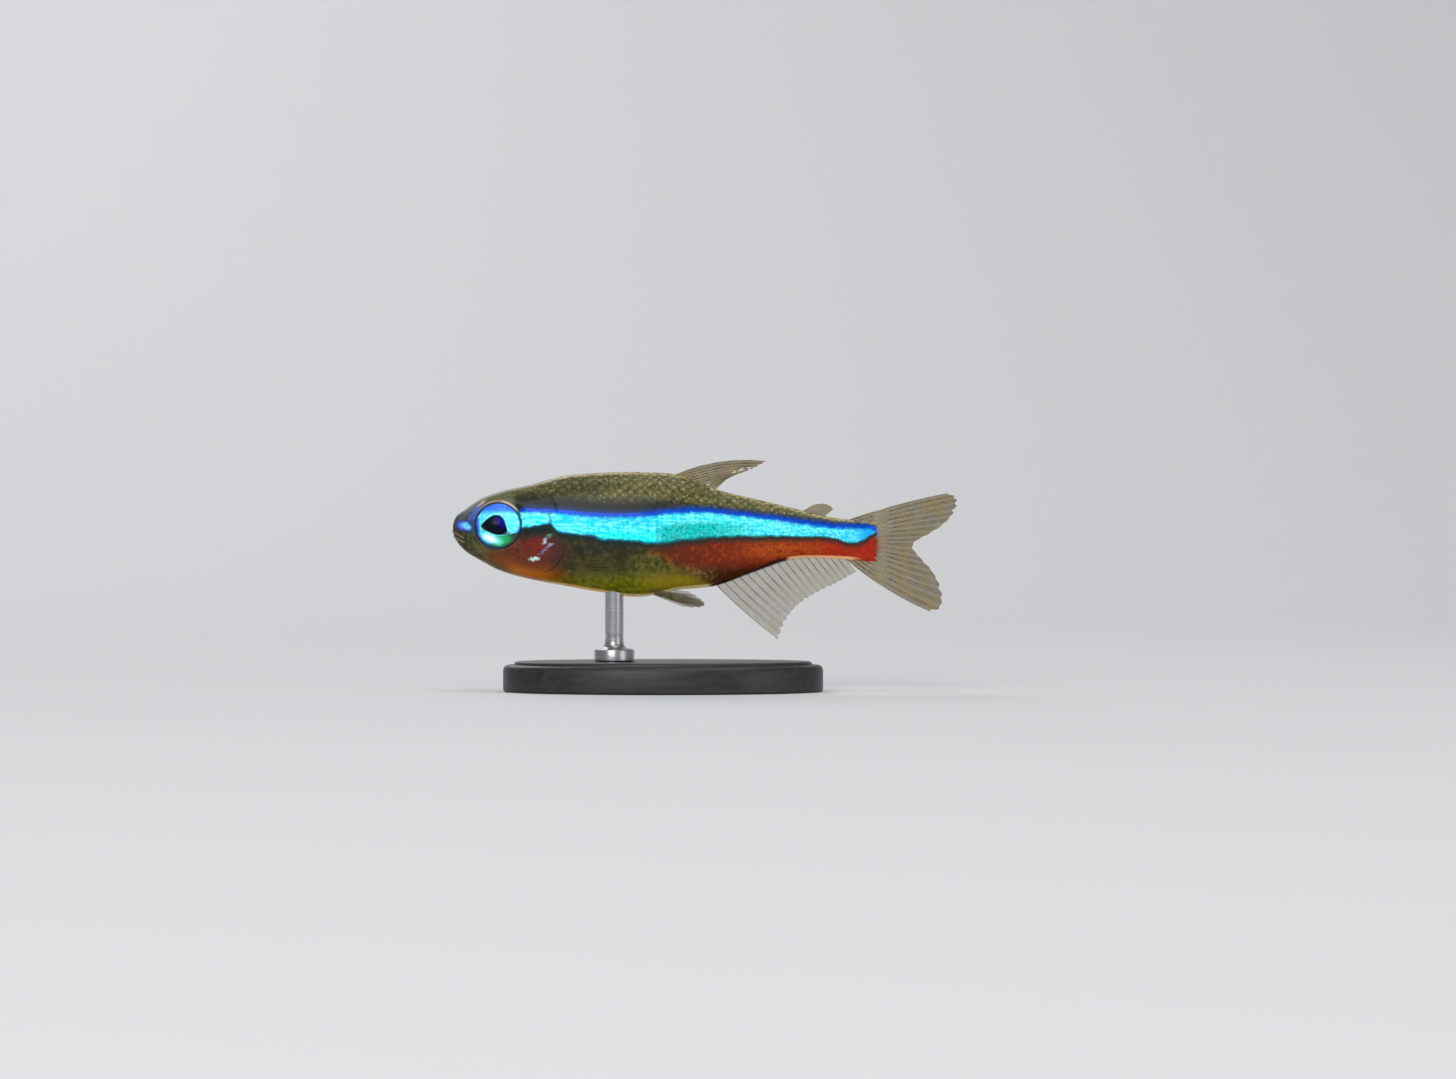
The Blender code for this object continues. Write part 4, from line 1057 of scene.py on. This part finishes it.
def make_lens(name, side):
    """The dark ball of the lens, set in the pit and standing up through the pupil."""
    deselect()
    bpy.ops.mesh.primitive_uv_sphere_add(segments=64, ring_count=32, radius=1)
    lens = named(name)
    middle = (-side * PUPIL_MIDDLE[0], PUPIL_MIDDLE[1], (PIT_FLOOR + LENS_TOP) / 2)
    for vertex in lens.data.vertices:
        reach = Vector((LENS_RADIUS, LENS_RADIUS * 0.86, (LENS_TOP - PIT_FLOOR) / 2))
        vertex.co = (Vector(middle) + vertex.co * reach) * MM
    lens.data.transform(eye_matrix(side))
    return lens


def build_iris_colours():
    """The iris: cyan foil, blue above and round the rim, with a white glow and green under the pupil."""
    group, w, given, result = new_group(
        "iris_colours", [("Place", "Vector")], [("Colour", "Color"), ("Foil", "Float")],
    )
    place = w.scaled(given.outputs["Place"], 1000.0)
    seen_x, _, seen_z = w.parts(w.wavered(place, 3.0, 3.0, 0.16))
    x = w.less(seen_x, EYE_CENTRE[0])
    z = w.less(seen_z, EYE_CENTRE[1])
    flat = w.node("CombineXYZ", x, 0.0, z)
    radius = w.distance(flat, (0.0, 0.0, 0.0))
    around = w.maths("MULTIPLY", w.maths("ARCTAN2", z, x), 2.4)
    spokes = w.noise(w.node("CombineXYZ", around, w.maths("MULTIPLY", radius, 0.8), 0.0), 3.2, 3.0)
    colour = w.lay((46, 214, 250), (120, 250, 255), (spokes, 0.36, 0.62))
    colour = w.lay(colour, (0, 92, 222), (z, 0.56, 0.98), (spokes, -0.10, 0.46))
    front_low = w.most(w.rise(z, 0.2, -0.6), w.rise(x, -0.5, -1.1))
    front_low = w.both(front_low, (z, 0.56, 0.26))
    rim_start = w.sloped(front_low, -0.18, 1.23)
    rim = w.rise(w.less(radius, rim_start), 0.0, 0.19)
    front_high = w.both((x, -0.3, -0.8), (z, -0.2, 0.3))
    rim_blue = w.lay((4, 72, 184), (64, 78, 220), front_high)
    colour = w.lay(colour, rim_blue, rim)
    # Painted shade under the foil's edge, with green and white gleams in it
    under = w.less(w.line(FOIL_EDGE, x), z)
    colour = w.lay(colour, (0, 66, 46), (under, -0.05, 0.03), (x, -0.75, -0.35))
    cheek_side = w.both((under, -0.02, 0.06), (x, 0.40, 0.78))
    corner = w.lay((4, 62, 50), (46, 44, 28), (under, 0.10, 0.34))
    colour = w.lay(colour, corner, cheek_side)
    for middle, half_length, half_width, slant, shade in PUPIL_FRINGE:
        fringe = w.spot(flat, middle, half_length, half_width, slant, 0.6)
        colour = w.lay(colour, shade, fringe, 0.85)
    green = w.spot(flat, (0.26, -0.88), 0.50, 0.24, 14, 0.6)
    colour = w.lay(colour, (10, 178, 92), green)
    gleam = w.spot(flat, (-0.40, -0.74), 0.62, 0.27, -22, 0.5)
    colour = w.lay(colour, (126, 252, 248), gleam)
    white = w.spot(flat, (-0.46, -0.74), 0.36, 0.15, -24, 0.6)
    colour = w.lay(colour, (252, 255, 250), white)
    colour = w.lay(colour, (4, 26, 96), (radius, 1.27, 1.35))
    foil = w.less(1.0, w.both(cheek_side, 0.9))
    w.fit(result, {"Colour": colour, "Foil": foil})
    return group


def iris_material():
    material, w, shader = coated_material("iris_foil", glow=PAINT_GLOW, gloss=0.0)
    place = w.here()
    colour, foil = w.grouped(build_iris_colours(), place)
    w.fit(shader, {
        "Base Color": colour,
        "Emission Color": w.paint(foil, (0, 0, 0, 1), colour),
        "Metallic": w.maths("MULTIPLY", foil, 0.3),
        "Roughness": 0.35,
        "Normal": w.bump(w.noise(place, 14000.0, 3.0), 0.01, 0.3),
    })
    return material


def lens_material():
    """Black, with a royal blue sheen in the upper part towards the tail."""
    material, w, shader = coated_material("dark_lens", glow=0.35, gloss=0.0)
    place = w.here(1000.0)
    x, _, z = w.parts(place)
    flat = w.node("CombineXYZ", x, 0.0, z)
    sheen = w.spot(flat, (EYE_CENTRE[0] + 0.16, EYE_CENTRE[1] + 0.28), 0.42, 0.20, -55, 0.8)
    colour = w.paint(w.noise(place, 1.5, 2.0), tone(0, 4, 10), tone(2, 10, 30))
    colour = w.lay(colour, (2, 10, 126), sheen)
    w.fit(shader, {
        "Base Color": colour, "Emission Color": colour, "Roughness": 0.10, "Specular IOR Level": 0.12,
    })
    return material


def cornea_material():
    material, w, shader = coated_material("clear_cornea", glow=0.0, gloss=1.0)
    veil = w.noise(w.here(), 900.0, 2.0)
    w.fit(shader, {
        "Base Color": w.lay((30, 60, 80), (60, 96, 112), veil),
        "Alpha": w.sloped(veil, 0.01, 0.025),
        "Roughness": 0.02,
        "Coat Roughness": 0.02,
    })
    return material


iris_paint = iris_material()
lens_glass = lens_material()
cornea_glass = cornea_material()
for side, word in BOTH_SIDES:
    iris = make_iris("iris_" + word, side)
    lens = make_lens("lens_" + word, side)
    lens.data.materials.append(lens_glass)
    dome = [(EYE_RADIUS - 0.01, -0.06), (EYE_RADIUS, -0.02)]
    for degrees in range(10, 86, 10):
        angle = math.radians(degrees)
        dome.append((EYE_RADIUS * math.cos(angle), -0.02 + (CORNEA_TOP + 0.02) * math.sin(angle)))
    cornea = turned("cornea_" + word, dome, EYE_SIDES)
    cornea.data.transform(eye_matrix(side))
    cornea.data.materials.append(cornea_glass)
    for piece in (iris, lens, cornea):
        smooth(45, piece)
        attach(piece, "root")
        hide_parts("eye_" + word)


# Fins
# A fin is a clear skin a few hundredths of a millimetre thick, stretched over bony rays that fork and
# thin out towards their tips. The rays are rooted in the flesh. The adipose fin has no rays.
ROOT_SINK = 0.6  # how far a ray starts before its root, inside the flesh
DORSAL_ROOT_X = (-1.45, 0.60)
DORSAL_TIPS = (
    (3.62, 13.68), (3.10, 13.38), (2.52, 13.12), (1.90, 12.90), (1.36, 12.66), (0.98, 12.36),
)
ADIPOSE_ROOT_X = (5.80, 7.10)
ADIPOSE_TIPS = ((6.40, 11.08), (6.90, 11.16), (7.38, 11.05), (7.60, 10.82))
ANAL_ROOT_X = (0.75, 8.35)
ANAL_TIPS = (
    (4.32, 3.12), (4.64, 3.96), (5.06, 4.70), (5.62, 5.24), (6.24, 5.66), (6.94, 6.05), (7.68, 6.40),
    (8.32, 6.74), (8.95, 7.10),
)
CAUDAL_ROOTS = (
    (8.60, 10.15), (9.30, 9.80), (9.62, 9.35), (9.68, 8.90), (9.62, 8.45), (9.30, 7.98), (8.70, 7.72),
)
CAUDAL_TIPS = (
    (14.35, 11.77), (14.86, 11.60), (14.98, 11.25), (14.84, 10.75), (14.50, 10.27), (13.92, 9.74),
    (13.15, 9.28), (12.46, 8.90), (12.36, 8.48), (12.80, 7.93), (13.28, 7.42), (13.70, 6.82),
    (14.00, 6.16), (14.09, 5.50), (13.93, 4.92), (13.34, 4.76),
)
# Paired fins, on the right: the root's middle, the directions along the middle ray and across the rays,
# the root's width, the rays' lengths from the lowest or innermost on, and how far the edges cup.
PECTORAL_FIN = (
    (-8.30, 1.00, 7.42), (1.0, 0.52, -0.16), (0.05, 0.15, 1.0), 0.7, (2.3, 3.0, 3.6, 3.7, 3.2), 0.15,
)
PELVIC_FIN = (
    (-3.35, 0.42, 6.00), (1.0, 0.22, -0.25), (0.1, 1.0, 0.35), 0.6, (2.2, 3.1, 3.5, 3.3, 2.7), 0.1,
)
PAIRED_SPREAD = 17.0  # degrees from a paired fin's middle ray to its outer rays
# Painted glints on silver at the dorsal fin's foot and in its upper half: along X and Z, and half length.
DORSAL_GLINTS = ((0.20, 12.36, 0.17), (1.70, 13.02, 0.14), (2.12, 13.16, 0.20), (2.62, 13.30, 0.12))
WEB_THICKNESS = 0.035
WEB_ROWS = 26
STRIPS_PER_RAY = 4
FRAY = 0.035  # how far the web falls back between two rays, as a share of their length
RAY_RADIUS = (0.046, 0.013)  # at the root and at the tip
RAY_SIDES = 6
RAY_STEPS = 6
FORKS = (0.42, 0.70)  # where along a ray it forks the first and the second time


def point_along(points, s):
    """A smooth line through evenly spaced points, read at s from 0 to 1."""
    t = s * (len(points) - 1)
    return Vector([smooth_curve(column, t) for column in zip(*points)])


def middle_fin(roots, tips, bows=(0.0, 0.0), sway=0.0, ripple=0.0):
    """The surface of a fin in the fish's middle plane.

    Each ray starts ROOT_SINK before its root. bows bends the first and the last ray in that plane, and
    sway and ripple carry the free edge out of it.
    """
    def surface(s, t):
        root, tip = point_along(roots, s), point_along(tips, s)
        root += (root - tip).normalized() * ROOT_SINK
        bow = bows[0] + (bows[1] - bows[0]) * s
        across = Vector((-(tip - root).y, (tip - root).x))
        place = root.lerp(tip, t) + across * bow * 4 * t * (1 - t)
        y = sway * t * t + ripple * math.sin(math.tau * 1.5 * s) * t
        return Vector((place.x, y, place.y))

    return surface


def paired_fin(side, root, along, fan, root_width, lengths, cup):
    """The surface of a paired fin, which fans out round its root. side is -1 on the left."""
    root, along, fan = (Vector((x, side * y, z)) for x, y, z in (root, along, fan))
    along.normalize()
    normal = along.cross(fan).normalized()
    fan = normal.cross(along).normalized()

    def surface(s, t):
        share = 2 * s - 1
        length = point_along([(value, 0) for value in lengths], s).x
        spread = math.radians(PAIRED_SPREAD) * share
        ray = along * math.cos(spread) + fan * math.sin(spread)
        return root + fan * share * root_width / 2 + ray * length * t + normal * cup * share * share * t

    return surface


def edge_height(x, back):
    return station_at(station_number(x))[1 if back else 2]


def roots_on_edge(low, high, back, count):
    places = [low + (high - low) * k / (count - 1) for k in range(count)]
    return [(x, edge_height(x, back)) for x in places]


def make_web(name, surface, rays, thickness, fray=FRAY):
    """A fin's clear skin: a sheet of fine strips, fallen back a little between the tips of the rays."""
    strips = (rays - 1) * STRIPS_PER_RAY
    deselect()
    bpy.ops.mesh.primitive_grid_add(x_subdivisions=strips, y_subdivisions=WEB_ROWS, size=1)
    web = named(name)
    draw = random.Random(len(name))
    torn = [draw.uniform(0.3, 1.0) for _ in range(rays)]
    for vertex in web.data.vertices:
        s, t = vertex.co.x + 0.5, vertex.co.y + 0.5
        between = math.sin(math.pi * s * (rays - 1)) ** 2 * torn[min(int(s * (rays - 1)), rays - 2)]
        vertex.co = surface(s, t * (1 - fray * between)) * MM
    thicken = web.modifiers.new("thicken", "SOLIDIFY")
    thicken.thickness = thickness * MM
    thicken.offset = 0.0
    apply_modifiers(web)
    turn_faces_out()
    smooth(40)
    return web


def fork_lines(s, spread, forks):
    """The stems and branches of one ray, each as a list of (s, t, size) from its foot on."""
    stops = [0.0, *forks, 1.0]
    lines, feet = [], [s]
    for number, (start, end) in enumerate(zip(stops, stops[1:])):
        offset = spread / 2 ** (number + 1)
        heads = []
        for foot in feet:
            for way in ((0,) if number == 0 else (-1, 1)):
                # A branch starts inside its stem, and the second one a little before the first.
                begin = max(start - 0.02 - 0.003 * way, 0)
                line = []
                for share in (k / RAY_STEPS for k in range(RAY_STEPS + 1)):
                    opened = 0.15 + 0.85 * (1 - (1 - share) ** 2)
                    line.append((foot + way * offset * opened, begin + (end - begin) * share, 0.80**number))
                lines.append(line)
                heads.append(foot + way * offset)
        feet = heads
    return lines


def make_rays(name, surface, rays, forks, radius=RAY_RADIUS):
    """A fin's bony rays as fine tapered tubes, forked towards their tips."""
    deselect()
    bpy.ops.curve.primitive_nurbs_path_add()
    bones = named(name)
    bones.data.splines.clear()
    bones.data.bevel_depth = 1.0 * MM
    bones.data.bevel_resolution = (RAY_SIDES - 4) // 2
    bones.data.use_fill_caps = True
    bones.data.resolution_u = 1
    for ray in range(rays):
        own = ray / (rays - 1)
        spread = 0.62 / (rays - 1) if 0 < ray < rays - 1 else 0.0
        for line in fork_lines(own, spread, forks if spread else ()):
            spline = bones.data.splines.new("POLY")
            spline.points.add(len(line) - 1)
            for point, (s, t, size) in zip(spline.points, line):
                point.co = (*(surface(min(max(s, 0), 1), t * 0.995) * MM), 1)
                point.radius = (radius[0] + (radius[1] - radius[0]) * t) * size
    bpy.ops.object.convert(target="MESH")
    bones = named(name)
    turn_faces_out(merge=1e-7)
    smooth(60)
    return bones


def add_root_marks(w, place, colour):
    """Carries the stripe's end and the red band a little way on to the tail fin. Gives colour and share."""
    ragged = w.wavered(place, 3.0, 3.0, 0.5)
    red = w.both(w.spot(ragged, (9.80, 8.65), 0.62, 0.80, 0, 0.5), 0.85)
    blue = w.both(w.spot(ragged, (9.86, 9.52), 0.40, 0.38, 0, 0.4), 0.95)
    colour = w.lay(colour, (158, 40, 12), red)
    return w.lay(colour, (16, 120, 236), blue), w.most(red, blue)


def add_glints(w, place, colour):
    """Sets the dorsal fin's painted glints over a fin's colour. Gives colour and share."""
    ragged = w.wavered(place, 6.0, 2.0, 0.25)
    share = 0.0
    for x, z, half in DORSAL_GLINTS:
        share = w.most(share, w.both(w.spot(ragged, (x, z), half, half * 0.4, 20, 0.5), 0.85))
    return w.lay(colour, (232, 230, 214), share), share


def web_material(name, cover):
    """A fin's clear skin. cover is how much of what lies behind it is hidden."""
    material, w, shader = coated_material(name, glow=0.0, gloss=0.2)
    place = w.here(1000.0)
    cloud = w.noise(place, 1.4, 4.0)
    dust = w.rise(w.node("TexVoronoi", place, None, 6.5), 0.22, 0.10)
    colour = w.lay((104, 86, 24), (146, 124, 58), (cloud, 0.38, 0.64))
    colour = w.lay(colour, (60, 56, 36), dust, 0.6)
    colour, marked = add_root_marks(w, place, colour)
    colour, glinting = add_glints(w, place, colour)
    thick = w.maths("ADD", w.sloped(cloud, cover, cover * 0.5), w.both(dust, cover * 0.5))
    w.fit(shader, {
        "Base Color": colour,
        "Alpha": w.most(thick, marked, glinting),
        "Roughness": 0.4,
        "Normal": w.bump(cloud, 0.01, 0.3),
    })
    return material


def ray_material(name, cover):
    """A fin's bony rays, olive with pale joints, and whitish where the tail fin's rays are rooted."""
    material, w, shader = coated_material(name, glow=0.0, gloss=0.3)
    place = w.here(1000.0)
    x, _, _ = w.parts(place)
    cloud = w.noise(place, 2.2, 3.0)
    joints = w.rise(w.node("TexVoronoi", place, None, 5.2), 0.30, 0.12)
    colour = w.lay((108, 90, 36), (152, 134, 78), (cloud, 0.38, 0.62))
    colour = w.lay(colour, (214, 206, 172), joints, 0.6)
    root = w.both((x, 9.9, 10.2), (x, 11.0, 10.5), 0.6)
    colour = w.lay(colour, (206, 190, 146), root)
    colour, marked = add_root_marks(w, place, colour)
    thick = w.sloped(cloud, cover * 0.6, cover * 0.7)
    w.fit(shader, {"Base Color": colour, "Alpha": w.most(thick, marked), "Roughness": 0.4})
    return material


tail_paints = web_material("fin_skin", 0.53), ray_material("fin_bone", 0.78)
thin_paints = web_material("thin_fin_skin", 0.27), ray_material("thin_fin_bone", 0.44)
clear_paints = web_material("clear_fin_skin", 0.05), ray_material("clear_fin_bone", 0.13)
tail_surface = middle_fin(CAUDAL_ROOTS, CAUDAL_TIPS, (0.02, -0.04), 0.25, 0.08)
anal_surface = middle_fin(roots_on_edge(*ANAL_ROOT_X, False, 5), ANAL_TIPS, (-0.02, 0.0), -0.15, 0.08)
dorsal_surface = middle_fin(roots_on_edge(*DORSAL_ROOT_X, True, 3), DORSAL_TIPS, (0.07, 0.0), 0.10, 0.05)
fins = [
    ("dorsal_fin", dorsal_surface, 11, FORKS, tail_paints),
    ("anal_fin", anal_surface, 18, FORKS[:1], thin_paints),
    ("caudal_fin", tail_surface, 19, FORKS, tail_paints),
]
for side, word in BOTH_SIDES:
    fins.append(("pectoral_fin_" + word, paired_fin(side, *PECTORAL_FIN), 11, FORKS[:1], clear_paints))
    fins.append(("pelvic_fin_" + word, paired_fin(side, *PELVIC_FIN), 8, FORKS, thin_paints))
for fin_name, surface, rays, forks, (web_paint, ray_paint) in fins:
    web = make_web(fin_name + "_web", surface, rays, WEB_THICKNESS)
    web.data.materials.append(web_paint)
    bones = make_rays(fin_name + "_rays", surface, rays, forks)
    bones.data.materials.append(ray_paint)
    for piece in (web, bones):
        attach(piece, "root")
        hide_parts(fin_name)

adipose_surface = middle_fin(roots_on_edge(*ADIPOSE_ROOT_X, True, 3), ADIPOSE_TIPS)
adipose = make_web("adipose_fin_web", adipose_surface, 5, 3 * WEB_THICKNESS, fray=0.0)
adipose.data.materials.append(tail_paints[0])
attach(adipose, "root")
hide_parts("adipose_fin")


# Base
# A flat oval of black lacquered board, with a rounded upper edge and a fine step round its top.
BASE_MIDDLE_X = -2.5
BASE_AXES = (9.5, 5.6)
BASE_SIDES = 128
# Inset from the oval's edge and height of each step of the board, from the underside up.
BOARD_STEPS = (
    (0.12, 0.0), (0.0, 0.12), (0.0, 1.30), (0.05, 1.45), (0.16, 1.56), (0.32, 1.60), (0.62, 1.60),
    (0.66, 1.62), (0.68, 1.72), (0.74, 1.78), (0.84, 1.80),
)


def board_material():
    material, w, shader = coated_material("black_lacquer", glow=0.0, gloss=0.15)
    grain = w.noise(w.stretched(w.here(), (1.0, 7.0, 7.0)), 420.0, 5.0)
    w.fit(shader, {
        "Base Color": w.lay((30, 30, 32), (48, 47, 48), (grain, 0.35, 0.7)),
        "Roughness": w.sloped(grain, 0.18, 0.38),
        "Coat Roughness": 0.25,
        "Normal": w.bump(grain, 0.02, 0.2),
    })
    return material


base = turned("base_board", [(-inset, height) for inset, height in BOARD_STEPS], BASE_SIDES, BASE_AXES)
base.data.transform(Matrix.Translation((BASE_MIDDLE_X * MM, 0, 0)))
smooth(35)
base.data.materials.append(board_material())
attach(base, "root")
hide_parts("stand_base")


# Rod
# A brushed steel pin with a turned foot, screwed to the board. Its top goes into the belly.
ROD_X = -5.4
ROD_RADIUS = 0.55
ROD_SIDES = 64
FOOT_LEVEL = 1.82
ROD_PROFILE = (
    (1.14, FOOT_LEVEL), (1.20, FOOT_LEVEL + 0.06), (1.20, 2.42), (1.16, 2.50), (1.05, 2.55), (0.80, 2.57),
    (0.70, 2.62), (0.62, 2.72), (0.57, 2.86), (ROD_RADIUS, 3.00), (ROD_RADIUS, 3.30), (0.52, 3.32),
    (0.52, 3.38), (ROD_RADIUS, 3.40), (ROD_RADIUS, 6.30),
)


def steel_material():
    material, w, shader = coated_material("brushed_steel", glow=0.0, gloss=0.0)
    turning = w.noise(w.stretched(w.here(), (1.0, 1.0, 26.0)), 900.0, 4.0)
    w.fit(shader, {
        "Base Color": w.lay((150, 150, 154), (206, 206, 208), turning),
        "Roughness": w.sloped(turning, 0.22, 0.20),
        "Metallic": 1.0,
        "Normal": w.bump(turning, 0.005, 0.15),
    })
    return material


rod = turned("steel_rod", ROD_PROFILE, ROD_SIDES)
rod.data.transform(Matrix.Translation((ROD_X * MM, 0, 0)))
smooth(35)
rod.data.materials.append(steel_material())
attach(rod, "root")
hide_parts("stand_rod")
